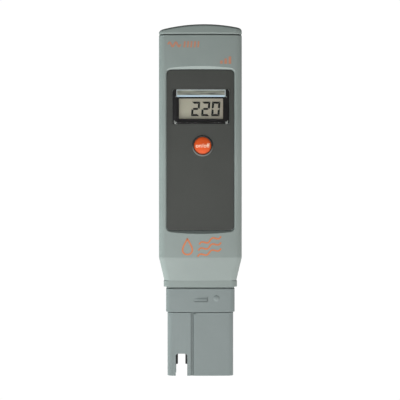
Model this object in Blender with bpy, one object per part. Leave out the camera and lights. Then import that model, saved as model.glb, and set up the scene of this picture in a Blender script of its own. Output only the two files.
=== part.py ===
"""A pocket digital pH meter, as the separate pieces that it comes apart into on a bench.

Metres, +Z up. The meter stands upright on the rim of its probe and its display faces -Y.
The origin is at the middle of the probe's rim, which is the lowest point of the meter.
Local +Z of a turned piece is its own axis; FACE_FRONT and FACE_REAR turn it to -Y and +Y.
"""

import math

import bmesh
import bpy
from mathutils import Euler, Matrix, Vector

GAP = 0.0003  # air between two pieces that touch on the real meter
FACE_FRONT = (math.pi / 2, 0, 0)
FACE_REAR = (-math.pi / 2, 0, 0)

# ---- housing: two shells that meet at a parting plane, tapering to a lip over the probe
BODY_HALF_WIDTH = 0.0206
BODY_FRONT = -0.0103
BODY_REAR = 0.0115
FRONT_BULGE = 0.0010  # the front is a very flat cylinder; the rear is a plane
BODY_CORNER = 0.0035
WALL = 0.0022
FRONT_WALL = 0.0026
PART_LINE_Y = 0.0010
LIP_BOTTOM = 0.0443
LIP_TOP = 0.0472
TAPER_TOP = 0.0589
SHELL_TOP = 0.1693
TOP_WALL = 0.0023
LIP_HALF_WIDTH = 0.0183
LIP_SHRINK = 0.0021  # how far front and rear move in at the lip
FOOT_HALF_WIDTH = 0.0180  # the taper's lower end, just above the lip
FOOT_SHRINK = 0.0021
MOUTH_HALF_WIDTH = 0.0153
MOUTH_SHRINK = 0.0046
BODY_MIDDLE_Y = (BODY_FRONT + BODY_REAR) / 2

# ---- dark front panel: flat, so the bowed front stands proudest of it at the middle
PANEL_HALF_WIDTH = 0.01675
PANEL_BOTTOM = 0.0723
PANEL_TOP = 0.1521
PANEL_CORNER = 0.0020
PANEL_BOW = 0.0002  # of its upper and lower edges
PANEL_FRONT = -0.00925
PANEL_THICK = 0.0005
RECESS_FLOOR = PANEL_FRONT + PANEL_THICK + GAP
RECESS_SLOPE = 1.37  # how far the recess's edge widens for each unit that it rises

# ---- display: clear window, black bezel, glass and the rubber strips behind it
DISPLAY_X = 0.0003
WINDOW_HALF_WIDTH = 0.0141
WINDOW_BOTTOM = 0.1250
WINDOW_TOP = 0.1422
WINDOW_FRONT = -0.0115
WINDOW_SIDE_BEVEL = 0.0018
WINDOW_BOTTOM_BEVEL = 0.0017
WINDOW_TOP_BEVEL = 0.0040
WINDOW_BEVEL_DEPTH = 0.0014
BEZEL_HALF_WIDTH = 0.0127
BEZEL_BOTTOM = 0.1258
BEZEL_TOP = 0.1394
APERTURE_HALF_WIDTH = 0.0109
APERTURE_BOTTOM = 0.1275
APERTURE_TOP = 0.1377
GLASS_HALF_WIDTH = 0.0119
GLASS_BOTTOM = 0.1266
GLASS_TOP = 0.1386
BEZEL_FRONT = RECESS_FLOOR
GLASS_FRONT = -0.00765
GLASS_THICK = 0.0018

# ---- power button and the switch that it presses
BUTTON_X = 0.0011
BUTTON_Z = 0.1143
BUTTON_RADIUS = 0.0042
BUTTON_FLANGE_RADIUS = 0.0053
BUTTON_FLANGE = 0.0008
BUTTON_RING_RADIUS = 0.0052  # a raised rim on the panel, round the button
BUTTON_RING_HEIGHT = 0.0005
SWITCH_SIZE = 0.0060
PLUNGER_RADIUS = 0.0017

# ---- circuit board
BOARD_HALF_WIDTH = 0.0130
BOARD_BOTTOM = 0.0660
BOARD_TOP = 0.1460
BOARD_FRONT = -0.0016
BOARD_REAR = 0.0
TRIMMER_X = 0.0055
TRIMMER_Z = 0.0840
TRIMMER_SIZE = 0.0066
TRIMMER_ROTOR_RADIUS = 0.0020

# ---- screws: case screws come in from the rear, board screws hold the board to the front shell
CASE_SCREW_X = 0.0154
CASE_SCREW_LEVELS = (0.0630, 0.1310)
BOARD_SCREW_X = 0.0114
BOARD_SCREW_LEVELS = (0.0730, 0.1222)

# ---- battery drawer: cap, tray and four button cells pull out of the top together
CAP_TOP = 0.1745
CAP_ARCH = 0.0024  # how far the cap's top falls over half of its width
CAP_CROWN_X = 0.0020  # its highest point is a little off centre
CAP_ROUND = 0.0012
TRAY_HALF_WIDTH = 0.0133
TRAY_FRONT = 0.0022
TRAY_REAR = 0.0089
TRAY_BOTTOM = 0.1384
TRAY_TOP = 0.1663
TRAY_FLOOR = 0.0028
CELL_RADIUS = 0.0058
CELL_THICK = 0.0054
CELL_X = 0.0064
CELL_LEVELS = (0.1456, 0.1584)

# ---- probe: collar that the protective cap clips on, and the shroud round the electrodes
COLLAR_HALF_WIDTH = 0.0171
COLLAR_SHRINK = 0.0032
COLLAR_TOP = 0.0434
COLLAR_BOTTOM = 0.0318
SPIGOT_TOP = 0.0540
SHROUD_HALF_WIDTH = 0.0164
SHROUD_SHRINK = 0.0039
SHROUD_TOP = 0.0315
SHROUD_WALL = 0.0016
PROBE_BULGE = 0.0004
CHAMBER_ROOF = 0.0130
CAVITY_FLOOR = 0.0155
DIVIDER_LEFT = -0.0045
DIVIDER_RIGHT = -0.0029
SLOT_X = -0.0094
SLOT_HALF_WIDTH = 0.00285
SLOT_TOP = 0.0110
PIN_SPREAD = 0.0026
PIN_RADIUS = 0.00075
PIN_TIP = 0.0050
PIN_TOP = 0.0220
STEM_X = 0.00585
STEM_RADIUS = 0.0027
STEM_WALL = 0.0005
STEM_BOTTOM = 0.0127
STEM_TOP = 0.0400
BULB_RADIUS = 0.0038
BULB_CENTRE = 0.0094
JUNCTION_X = 0.0109
JUNCTION_RADIUS = 0.0009

# ---- how finely curves are cut
CORNER_STEPS = 4
EDGE_STEPS = 4
FINE_SIDES = 32
MEDIUM_SIDES = 24
COARSE_SIDES = 12

# colour, roughness, metallic and alpha of each look
LOOKS = {
    "grey_plastic": ((0.27, 0.31, 0.295), 0.42, 0.0, 1.0),
    "light_grey_plastic": ((0.28, 0.32, 0.315), 0.48, 0.0, 1.0),
    "dark_panel": ((0.065, 0.067, 0.062), 0.35, 0.0, 1.0),
    "clear_window": ((0.80, 0.84, 0.86), 0.05, 0.0, 0.3),
    "black_plastic": ((0.015, 0.014, 0.013), 0.35, 0.0, 1.0),
    "display_glass": ((0.40, 0.39, 0.31), 0.25, 0.0, 1.0),
    "orange_rubber": ((0.66, 0.10, 0.03), 0.40, 0.0, 1.0),
    "seal_rubber": ((0.03, 0.03, 0.032), 0.80, 0.0, 1.0),
    "green_board": ((0.02, 0.13, 0.06), 0.40, 0.0, 1.0),
    "steel": ((0.60, 0.60, 0.58), 0.28, 1.0, 1.0),
    "brass": ((0.72, 0.50, 0.20), 0.30, 1.0, 1.0),
    "silver": ((0.80, 0.80, 0.78), 0.25, 1.0, 1.0),
    "graphite": ((0.03, 0.03, 0.03), 0.50, 0.2, 1.0),
    "electrode_glass": ((0.85, 0.90, 0.90), 0.05, 0.0, 0.35),
    "resin": ((0.05, 0.05, 0.055), 0.50, 0.0, 1.0),
    "ceramic": ((0.80, 0.78, 0.72), 0.80, 0.0, 1.0),
    "blue_plastic": ((0.03, 0.10, 0.35), 0.40, 0.0, 1.0),
    "white_plastic": ((0.75, 0.74, 0.70), 0.45, 0.0, 1.0),
    "red_lead": ((0.45, 0.03, 0.02), 0.50, 0.0, 1.0),
    "black_lead": ((0.02, 0.02, 0.02), 0.50, 0.0, 1.0),
}


# ---------------------------------------------------------------- modelling helpers


def clear_scene():
    for obj in list(bpy.data.objects):
        bpy.data.objects.remove(obj)


def look(name):
    """The Principled material of that name, made the first time it is asked for."""
    found = bpy.data.materials.get(name)
    if found:
        return found
    colour, roughness, metallic, alpha = LOOKS[name]
    made = bpy.data.materials.new(name)
    made.use_nodes = True
    shader = made.node_tree.nodes["Principled BSDF"]
    shader.inputs["Base Color"].default_value = (*colour, 1.0)
    shader.inputs["Roughness"].default_value = roughness
    shader.inputs["Metallic"].default_value = metallic
    shader.inputs["Alpha"].default_value = alpha
    return made


def place(name, data, material, location=(0, 0, 0), rotation=(0, 0, 0), parent=None):
    """An object at that world place. A parent is an empty that is itself not turned."""
    obj = bpy.data.objects.new(name, data)
    bpy.context.scene.collection.objects.link(obj)
    obj.data.materials.append(look(material))
    obj.rotation_euler = rotation
    if parent is None:
        obj.location = location
    else:
        obj.parent = parent
        obj.location = Vector(location) - parent.location
    return obj


def to_mesh(name, bm):
    """The bmesh as a closed mesh, faces out, smooth where it is round."""
    bmesh.ops.recalc_face_normals(bm, faces=bm.faces)
    mesh = bpy.data.meshes.new(name)
    bm.to_mesh(mesh)
    bm.free()
    mesh.shade_smooth()
    mesh.set_sharp_from_angle(angle=math.radians(30))
    return mesh


def piece(name, bm, material, location=(0, 0, 0), rotation=(0, 0, 0), parent=None):
    return place(name, to_mesh(name, bm), material, location, rotation, parent)


def loft(rings):
    """A closed bmesh through rings of equal count, with flat ends."""
    bm = bmesh.new()
    loops = [[bm.verts.new(point) for point in ring] for ring in rings]
    for low, high in zip(loops, loops[1:]):
        for i in range(len(low)):
            j = (i + 1) % len(low)
            bm.faces.new((low[i], low[j], high[j], high[i]))
    bm.faces.new(loops[0])
    bm.faces.new(loops[-1])
    return bm


def half_edge(half_width, reach, corner, bulge):
    """(u, v) points from the straight side to the middle of an edge `reach` away, which bows
    out by `bulge`. The corner is an arc that meets both the side and the bow without a kink."""
    if bulge > 0:
        bow = (half_width**2 + bulge**2) / (2 * bulge)
        centre = reach - bow + math.sqrt((bow - corner) ** 2 - (half_width - corner) ** 2)
        lean = math.atan2(centre - (reach - bow), half_width - corner)
    else:
        centre = reach - corner
        lean = math.pi / 2
    points = []
    for i in range(CORNER_STEPS + 1):
        angle = lean * i / CORNER_STEPS
        u = half_width - corner + corner * math.cos(angle)
        points.append((u, centre + corner * math.sin(angle)))
    last = points[-1][0]
    for i in range(1, EDGE_STEPS + 1):
        u = last * (1 - i / EDGE_STEPS)
        drop = bow - math.sqrt(bow**2 - u**2) if bulge > 0 else 0.0
        points.append((u, reach - drop))
    return points


def outline(half_width, low, high, corner, low_bulge=0.0, high_bulge=0.0):
    """A rounded rectangle in (u, v), anticlockwise, whose two long edges may bow out."""
    middle = (low + high) / 2
    lower = [(u, middle - v) for u, v in half_edge(half_width, middle - low, corner, low_bulge)]
    upper = [(u, middle + v) for u, v in half_edge(half_width, high - middle, corner, high_bulge)]
    right = lower[::-1] + upper
    left = [(-u, v) for u, v in right[::-1][1:-1]]
    return right + left


def level(z, section, x=0.0):
    return [(x + u, v, z) for u, v in section]


def depth_plane(y, section, x=0.0):
    return [(x + u, y, v) for u, v in section]


def prism_y(section, front, rear, x=0.0):
    """An (x, z) outline run along Y."""
    return loft([depth_plane(front, section, x), depth_plane(rear, section, x)])


def block(x, y, z):
    """A box from three (low, high) pairs."""
    corners = [(x[0], y[0]), (x[1], y[0]), (x[1], y[1]), (x[0], y[1])]
    return loft([level(height, corners) for height in z])


def turned(profile, sides):
    """A solid of revolution about Z from (radius, height) points that start and end on the axis."""
    bm = bmesh.new()
    loops = []
    for radius, height in profile:
        if radius == 0:
            loops.append([bm.verts.new((0, 0, height))])
            continue
        turn = [2 * math.pi * i / sides for i in range(sides)]
        loops.append(
            [bm.verts.new((radius * math.cos(a), radius * math.sin(a), height)) for a in turn]
        )
    for low, high in zip(loops, loops[1:]):
        for i in range(sides):
            j = (i + 1) % sides
            corners = [low[i % len(low)], low[j % len(low)], high[j % len(high)], high[i % len(high)]]
            bm.faces.new(list(dict.fromkeys(corners)))
    return bm


def rod(radius, low, high, sides=COARSE_SIDES):
    return turned([(0, low), (radius, low), (radius, high), (0, high)], sides)


def strip(path, thickness, width):
    """A bent metal strip: (y, z) points of its middle line, with width along X."""
    sides = ([], [])
    for i, point in enumerate(path):
        before = Vector(path[max(i - 1, 0)])
        after = Vector(path[min(i + 1, len(path) - 1)])
        along = (after - before).normalized()
        across = Vector((-along.y, along.x)) * thickness / 2
        sides[0].append(Vector(point) + across)
        sides[1].append(Vector(point) - across)
    section = sides[0] + sides[1][::-1]
    return loft([[(x, p.x, p.y) for p in section] for x in (-width / 2, width / 2)])


def group(*pieces):
    """One bmesh that holds every (bmesh, location, rotation) in its place. None may touch."""
    whole = bmesh.new()
    for bm, location, rotation in pieces:
        bm.transform(Matrix.LocRotScale(Vector(location), Euler(rotation), None))
        mesh = bpy.data.meshes.new("grouped")
        bm.to_mesh(mesh)
        bm.free()
        whole.from_mesh(mesh)
        bpy.data.meshes.remove(mesh)
    return whole


def tool(name, bm, location=(0, 0, 0), rotation=(0, 0, 0)):
    """A cutter or an addition that is only used by Booleans."""
    obj = piece(name, bm, "grey_plastic", location, rotation)
    obj.hide_render = True
    obj.display_type = "WIRE"
    return obj


def combine(piece, operation, *tools):
    for other in tools:
        modifier = piece.modifiers.new(other.name, "BOOLEAN")
        modifier.operation = operation
        modifier.solver = "EXACT"
        modifier.object = other


def cut(piece, *tools):
    combine(piece, "DIFFERENCE", *tools)


def add(piece, *tools):
    combine(piece, "UNION", *tools)


def empty(name, location):
    obj = bpy.data.objects.new(name, None)
    bpy.context.scene.collection.objects.link(obj)
    obj.location = location
    return obj


# ---------------------------------------------------------------- housing


def body_section(half_width, shrink, bulge=FRONT_BULGE, corner=BODY_CORNER):
    """The housing's cross-section, with its front and rear moved in by `shrink`."""
    return outline(half_width, BODY_FRONT + shrink, BODY_REAR - shrink, corner, bulge)


def housing_outside():
    return loft(
        [
            level(LIP_BOTTOM, body_section(LIP_HALF_WIDTH, LIP_SHRINK)),
            level(LIP_TOP, body_section(LIP_HALF_WIDTH, LIP_SHRINK)),
            level(LIP_TOP + GAP, body_section(FOOT_HALF_WIDTH, FOOT_SHRINK)),
            level(TAPER_TOP, body_section(BODY_HALF_WIDTH, 0)),
            level(SHELL_TOP, body_section(BODY_HALF_WIDTH, 0)),
        ]
    )


def housing_inside():
    """The cavity of both shells, with the mouth that the probe's spigot comes in by."""
    mouth = body_section(MOUTH_HALF_WIDTH, MOUTH_SHRINK, bulge=0, corner=0.002)
    low, high = BODY_FRONT + FRONT_WALL, BODY_REAR - WALL
    corner = BODY_CORNER - WALL / 2
    inner = outline(BODY_HALF_WIDTH - WALL, low, high, corner, FRONT_BULGE)
    return loft(
        [
            level(LIP_BOTTOM - 0.001, mouth),
            level(LIP_TOP, mouth),
            level(TAPER_TOP, inner),
            level(SHELL_TOP - TOP_WALL, inner),
        ]
    )


def panel_section(margin):
    corner = PANEL_CORNER + max(margin, 0)
    low, high = PANEL_BOTTOM - margin, PANEL_TOP + margin
    return outline(PANEL_HALF_WIDTH + margin, low, high, corner, PANEL_BOW, PANEL_BOW)


def panel_recess():
    """The sunk field for the panel. Its sloping edge meets the bowed front in an arch."""
    margin = 0.00015
    rise = 0.0025
    rings = [(RECESS_FLOOR, margin), (PANEL_FRONT, margin)]
    rings.append((PANEL_FRONT - rise, margin + rise * RECESS_SLOPE))
    return loft([depth_plane(y, panel_section(widening)) for y, widening in rings])


def make_shell(name, y, posts, holes):
    """The half of the hollow housing between the two Y values, with posts inside and holes."""
    shell = piece(name, housing_outside(), "grey_plastic")
    cut(shell, tool(name + "_cavity", housing_inside()))
    add(shell, tool(name + "_posts", group(*posts)))
    combine(shell, "INTERSECT", tool(name + "_half", block((-0.03, 0.03), y, (0.0, 0.2))))
    cut(shell, tool(name + "_holes", group(*holes)))
    return shell


def make_front_shell():
    parting = PART_LINE_Y - GAP / 2
    wall = BODY_FRONT + FRONT_WALL - 0.0003
    posts, holes = [], []
    for x in (-CASE_SCREW_X, CASE_SCREW_X):
        for z in CASE_SCREW_LEVELS:
            posts.append((rod(0.0020, wall - parting, 0.001), (x, parting, z), FACE_REAR))
            holes.append((rod(0.0012, -0.0060, 0.001), (x, parting, z), FACE_REAR))
    board_seat = BOARD_FRONT - GAP
    for x in (-BOARD_SCREW_X, BOARD_SCREW_X):
        for z in BOARD_SCREW_LEVELS:
            posts.append((rod(0.0018, wall - board_seat, 0), (x, board_seat, z), FACE_REAR))
            holes.append((rod(0.0010, -0.0042, 0.001), (x, board_seat, z), FACE_REAR))
    button_hole = rod(BUTTON_RADIUS + 0.0004, -0.006, 0.006, FINE_SIDES)
    holes.append((button_hole, (BUTTON_X, BODY_FRONT, BUTTON_Z), FACE_FRONT))
    opening = outline(BEZEL_HALF_WIDTH + GAP, BEZEL_BOTTOM - GAP, BEZEL_TOP + GAP, 0.0006)
    holes.append((prism_y(opening, -0.013, -0.0065), (DISPLAY_X, 0, 0), (0, 0, 0)))
    shell = make_shell("front_shell", (-0.02, parting), posts, holes)
    cut(shell, tool("panel_recess", panel_recess()))


def make_rear_shell():
    parting = PART_LINE_Y + GAP / 2
    wall = BODY_REAR - WALL + 0.0005
    posts, holes = [], []
    for x in (-CASE_SCREW_X, CASE_SCREW_X):
        for z in CASE_SCREW_LEVELS:
            posts.append((rod(0.0026, -0.001, wall - parting), (x, parting, z), FACE_REAR))
            sunk = [(0, -0.002), (0.0012, -0.002), (0.0012, BODY_REAR - 0.0016 - parting)]
            sunk += [(0.0020, BODY_REAR - 0.0016 - parting), (0.0020, 0.012), (0, 0.012)]
            holes.append((turned(sunk, COARSE_SIDES), (x, parting, z), FACE_REAR))
    guide = 0.0050
    for x in (-TRIMMER_X, TRIMMER_X):
        posts.append((rod(0.0026, 0, wall - guide), (x, guide, TRIMMER_Z), FACE_REAR))
        holes.append((rod(0.0017, -0.001, 0.008), (x, guide, TRIMMER_Z), FACE_REAR))
    for side in (-1, 1):
        x = sorted(side * (TRAY_HALF_WIDTH + gap) for gap in (0.0006, 0.0016))
        rail = block(x, (TRAY_FRONT, wall), (TRAY_BOTTOM, SHELL_TOP - 0.001))
        posts.append((rail, (0, 0, 0), (0, 0, 0)))
    tray_mouth = block(
        (-TRAY_HALF_WIDTH - 0.0005, TRAY_HALF_WIDTH + 0.0005),
        (TRAY_FRONT - 0.0004, TRAY_REAR + GAP),
        (SHELL_TOP - TOP_WALL - 0.001, SHELL_TOP + 0.001),
    )
    holes.append((tray_mouth, (0, 0, 0), (0, 0, 0)))
    make_shell("rear_shell", (parting, 0.02), posts, holes)


def make_case_screws():
    """Four self-tapping screws with cross-slotted pan heads, sunk into the rear shell."""
    names = iter(("lower_left", "upper_left", "lower_right", "upper_right"))
    for x in (-1, 1):
        for z in CASE_SCREW_LEVELS:
            name = "case_screw_" + next(names)
            profile = [(0, -0.0140), (0.0006, -0.0140), (0.0009, -0.0130), (0.0009, -0.0013)]
            profile += [(0.00175, -0.0011), (0.00175, -0.0004), (0.0013, 0), (0, 0)]
            at = (x * CASE_SCREW_X, BODY_REAR - GAP, z)
            screw = piece(name, turned(profile, COARSE_SIDES), "steel", at, FACE_REAR)
            cross_slot(screw, name, at, 0.0012)


def cross_slot(screw, name, at, half_length):
    """The driver's cross in a screw head whose top is at `at` and faces the rear."""
    arms = ((half_length, 0.00025), (0.00025, half_length))
    for i, (half_x, half_z) in enumerate(arms):
        arm = block(
            (at[0] - half_x, at[0] + half_x),
            (at[1] - 0.0006, at[1] + 0.0005),
            (at[2] - half_z, at[2] + half_z),
        )
        cut(screw, tool(f"{name}_slot_{i}", arm))


# ---------------------------------------------------------------- front panel, display and button


def make_front_panel():
    """A flat dark sheet with a window opening and a raised rim round the button's hole."""
    sheet = prism_y(panel_section(-0.00015), PANEL_FRONT, PANEL_FRONT + PANEL_THICK)
    panel = piece("front_panel", sheet, "dark_panel")
    centre = (BUTTON_X, PANEL_FRONT, BUTTON_Z)
    bore = BUTTON_RADIUS + 0.00025
    outer = BUTTON_RING_RADIUS
    rim = [(0, -0.0002), (outer, -0.0002), (outer, 0.0001), (outer - 0.0002, BUTTON_RING_HEIGHT)]
    rim += [(bore + 0.0002, BUTTON_RING_HEIGHT), (bore - 0.0004, 0.0001), (0, 0.0001)]
    add(panel, tool("button_rim", turned(rim, FINE_SIDES), centre, FACE_FRONT))
    window = outline(WINDOW_HALF_WIDTH + GAP, WINDOW_BOTTOM - GAP, WINDOW_TOP + GAP, 0.0008)
    hole = rod(bore, -0.002, 0.002, FINE_SIDES)
    openings = group(
        (prism_y(window, -0.013, -0.006), (DISPLAY_X, 0, 0), (0, 0, 0)),
        (hole, centre, FACE_FRONT),
    )
    cut(panel, tool("panel_openings", openings))


def make_display_window():
    """A clear moulded block whose four edges are bevelled; the upper bevel is much the widest."""
    base = outline(WINDOW_HALF_WIDTH, WINDOW_BOTTOM, WINDOW_TOP, 0.0007)
    face = outline(
        WINDOW_HALF_WIDTH - WINDOW_SIDE_BEVEL,
        WINDOW_BOTTOM + WINDOW_BOTTOM_BEVEL,
        WINDOW_TOP - WINDOW_TOP_BEVEL,
        0.0004,
    )
    back = RECESS_FLOOR - GAP
    rings = [
        depth_plane(back, base, DISPLAY_X),
        depth_plane(WINDOW_FRONT + WINDOW_BEVEL_DEPTH, base, DISPLAY_X),
        depth_plane(WINDOW_FRONT, face, DISPLAY_X),
    ]
    piece("display_window", loft(rings), "clear_window")


def make_display():
    """The black bezel box with the glass and its two rubber connector strips inside."""
    front = BEZEL_FRONT
    back = BOARD_FRONT - GAP
    shell = outline(BEZEL_HALF_WIDTH, BEZEL_BOTTOM, BEZEL_TOP, 0.0004)
    bezel = piece("display_bezel", prism_y(shell, front, back, DISPLAY_X), "black_plastic")
    aperture = outline(APERTURE_HALF_WIDTH, APERTURE_BOTTOM, APERTURE_TOP, 0.0003)
    cut(bezel, tool("aperture", prism_y(aperture, front - 0.002, front + 0.002, DISPLAY_X)))
    pocket = outline(GLASS_HALF_WIDTH + GAP, GLASS_BOTTOM - GAP, GLASS_TOP + GAP, 0.0003)
    cut(bezel, tool("glass_pocket", prism_y(pocket, GLASS_FRONT - GAP, back + 0.002, DISPLAY_X)))

    x = (DISPLAY_X - GLASS_HALF_WIDTH, DISPLAY_X + GLASS_HALF_WIDTH)
    glass = block(x, (GLASS_FRONT, GLASS_FRONT + GLASS_THICK), (GLASS_BOTTOM, GLASS_TOP))
    piece("lcd_glass", glass, "display_glass")
    strip_x = (x[0] + 0.0009, x[1] - 0.0009)
    strip_y = (GLASS_FRONT + GLASS_THICK + GAP, back)
    for name, low in (("lower", GLASS_BOTTOM + GAP), ("upper", GLASS_TOP - GAP - 0.0018)):
        rubber = block(strip_x, strip_y, (low, low + 0.0018))
        piece("connector_strip_" + name, rubber, "seal_rubber")


def make_button():
    """The domed cap with its retaining flange, the switch body, and the plunger between them.
    The cap's and the plunger's origins are on the axis that they slide along."""
    seat = BODY_FRONT + FRONT_WALL + GAP  # the flange's front face, behind the wall
    slide = empty("button_slide", (BUTTON_X, seat, BUTTON_Z))
    profile = [(0, -BUTTON_FLANGE), (BUTTON_FLANGE_RADIUS, -BUTTON_FLANGE), (BUTTON_FLANGE_RADIUS, 0)]
    profile += [(BUTTON_RADIUS, 0), (BUTTON_RADIUS, 0.0018)]
    for radius_share, height in ((0.93, 0.00205), (0.72, 0.00225), (0.40, 0.00238)):
        profile.append((BUTTON_RADIUS * radius_share, height))
    profile.append((0, 0.00243))
    at = (BUTTON_X, seat, BUTTON_Z)
    piece("power_button", turned(profile, FINE_SIDES), "orange_rubber", at, FACE_FRONT, slide)

    front = seat + BUTTON_FLANGE + GAP
    plunger = rod(PLUNGER_RADIUS, -0.0023, 0)
    at = (BUTTON_X, front, BUTTON_Z)
    piece("switch_plunger", plunger, "black_plastic", at, FACE_FRONT, slide)

    half = SWITCH_SIZE / 2
    body_front = front + 0.0016
    body = block(
        (BUTTON_X - half, BUTTON_X + half),
        (body_front, BOARD_FRONT - GAP),
        (BUTTON_Z - half, BUTTON_Z + half),
    )
    switch = piece("switch_body", body, "black_plastic")
    bore = rod(PLUNGER_RADIUS + GAP, -0.0018, 0.001)
    cut(switch, tool("switch_bore", bore, (BUTTON_X, body_front, BUTTON_Z), FACE_FRONT))


# ---------------------------------------------------------------- circuit board


def make_board():
    section = outline(BOARD_HALF_WIDTH, BOARD_BOTTOM, BOARD_TOP, 0.0010)
    board = piece("circuit_board", prism_y(section, BOARD_FRONT, BOARD_REAR), "green_board")
    names = iter(("lower_left", "upper_left", "lower_right", "upper_right"))
    for x in (-1, 1):
        for z in BOARD_SCREW_LEVELS:
            at = (x * BOARD_SCREW_X, BOARD_REAR + GAP, z)
            cut(board, tool("board_hole", rod(0.0010, -0.003, 0.002), at, FACE_REAR))
            name = "board_screw_" + next(names)
            profile = [(0, -0.0052), (0.0004, -0.0052), (0.0007, -0.0045), (0.0007, 0)]
            profile += [(0.0015, 0), (0.0015, 0.0005), (0.0010, 0.0009), (0, 0.0009)]
            piece(name, turned(profile, COARSE_SIDES), "steel", at, FACE_REAR)


def on_board(name, material, x, z, half_x, half_z, height):
    """A block that sits on the rear of the board, with its edges bevelled."""
    base = BOARD_REAR + GAP
    body = block((x - half_x, x + half_x), (base, base + height), (z - half_z, z + half_z))
    part = piece(name, body, material)
    bevel = part.modifiers.new("edges", "BEVEL")
    bevel.width = 0.0002
    bevel.segments = 1


def make_components():
    on_board("microcontroller", "black_plastic", 0.0, 0.1040, 0.0050, 0.0050, 0.0016)
    on_board("amplifier_chip", "black_plastic", 0.0, 0.0760, 0.0025, 0.0020, 0.0015)
    on_board("lead_connector", "white_plastic", 0.0, 0.0690, 0.0055, 0.0020, 0.0035)
    base = BOARD_REAR + GAP
    can = turned([(0, 0), (0.0020, 0), (0.0020, 0.0050), (0.0018, 0.0054), (0, 0.0054)], 16)
    piece("filter_capacitor", can, "steel", (-0.0080, base, 0.1180), FACE_REAR)
    crystal = rod(0.0010, -0.0030, 0.0030)
    piece("quartz_crystal", crystal, "silver", (0.0090, base + 0.0010, 0.1000))


def make_trimmers():
    """Two calibration trimmers. A screwdriver reaches each rotor through a hole in the rear shell."""
    half = TRIMMER_SIZE / 2
    base = BOARD_REAR + GAP
    for side, x in (("left", -TRIMMER_X), ("right", TRIMMER_X)):
        body = block((x - half, x + half), (base, base + 0.0040), (TRIMMER_Z - half, TRIMMER_Z + half))
        name = "trimmer_body_" + side
        frame = piece(name, body, "blue_plastic")
        at = (x, base + 0.0040, TRIMMER_Z)
        bore = rod(TRIMMER_ROTOR_RADIUS + GAP, -0.0017, 0.001, MEDIUM_SIDES)
        cut(frame, tool("rotor_bore", bore, at, FACE_REAR))
        name = "trimmer_rotor_" + side
        disc = rod(TRIMMER_ROTOR_RADIUS, -0.0014, 0.0003, MEDIUM_SIDES)
        rotor = piece(name, disc, "brass", at, FACE_REAR)
        slot = block(
            (x - 0.0016, x + 0.0016),
            (at[1] - 0.0004, at[1] + 0.001),
            (TRIMMER_Z - 0.0003, TRIMMER_Z + 0.0003),
        )
        cut(rotor, tool(name + "_slot", slot))


def make_battery_contacts():
    """Two sprung strips on the board that press on the end of the battery tray."""
    path = [(0.00048, 0.1280), (0.00048, 0.1325), (0.0012, 0.1345), (0.0030, 0.1362)]
    path += [(0.0050, 0.1374), (0.0064, 0.1376), (0.0076, 0.1368)]
    for pole, x in (("positive", -CELL_X), ("negative", CELL_X)):
        name = "battery_contact_" + pole
        piece(name, strip(path, 0.0003, 0.0030), "brass", (x, 0, 0))


# ---------------------------------------------------------------- battery drawer


def arch(x):
    """Height of the cap's top surface above the point at x."""
    return CAP_TOP - CAP_ARCH * ((x - CAP_CROWN_X) / BODY_HALF_WIDTH) ** 2


def cap_solid():
    """The cap's outer body: straight sides, a rounded edge, and a top that is arched along X."""
    foot = SHELL_TOP + GAP
    rings = [level(foot, body_section(BODY_HALF_WIDTH, 0))]
    for step in range(4):
        angle = math.pi / 2 * step / 3
        inset = CAP_ROUND * (1 - math.cos(angle))
        rise = CAP_ROUND * (math.sin(angle) - 1)
        section = body_section(BODY_HALF_WIDTH - inset, inset, corner=BODY_CORNER - inset)
        rings.append([(x, y, arch(x) + rise) for x, y in section])
    edge = rings[-1]
    for share in (0.75, 0.5, 0.25):
        ring = [(x * share, BODY_MIDDLE_Y + (y - BODY_MIDDLE_Y) * share) for x, y, _ in edge]
        rings.append([(x, y, arch(x)) for x, y in ring])
    return loft(rings)


def make_battery_cap(drawer):
    cap = piece("battery_cap", cap_solid(), "grey_plastic", parent=drawer)
    half = TRAY_HALF_WIDTH
    front, rear = TRAY_FRONT + 0.0001, TRAY_REAR - 0.0002
    plug = block((-half, half), (front, rear), (TRAY_TOP + GAP, SHELL_TOP + 0.001))
    add(cap, tool("cap_plug", plug))
    groove_z = (SHELL_TOP - 0.0018, SHELL_TOP - 0.0006)
    groove = tool("gasket_groove", block((-half - 0.001, half + 0.001), (0.0, 0.0105), groove_z))
    core = block((-half + 0.0008, half - 0.0008), (front + 0.0008, rear - 0.0008), (0.165, 0.171))
    cut(groove, tool("groove_core", core))
    cut(cap, groove)
    tongue_slot = block((-0.0083, 0.0083), (0.0042, 0.0068), (TRAY_TOP - 0.001, TRAY_TOP + 0.0026))
    cut(cap, tool("tongue_slot", tongue_slot))

    ring_z = (groove_z[0] + 0.00015, groove_z[1] - 0.00015)
    proud, deep = 0.00035, 0.00065  # the ring stands out of its groove and reaches into it
    ring = block((-half - proud, half + proud), (front - proud, rear + proud), ring_z)
    gasket = piece("cap_gasket", ring, "seal_rubber", parent=drawer)
    bore = block((-half + deep, half - deep), (front + deep, rear - deep), (0.165, 0.171))
    cut(gasket, tool("gasket_bore", bore))


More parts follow.
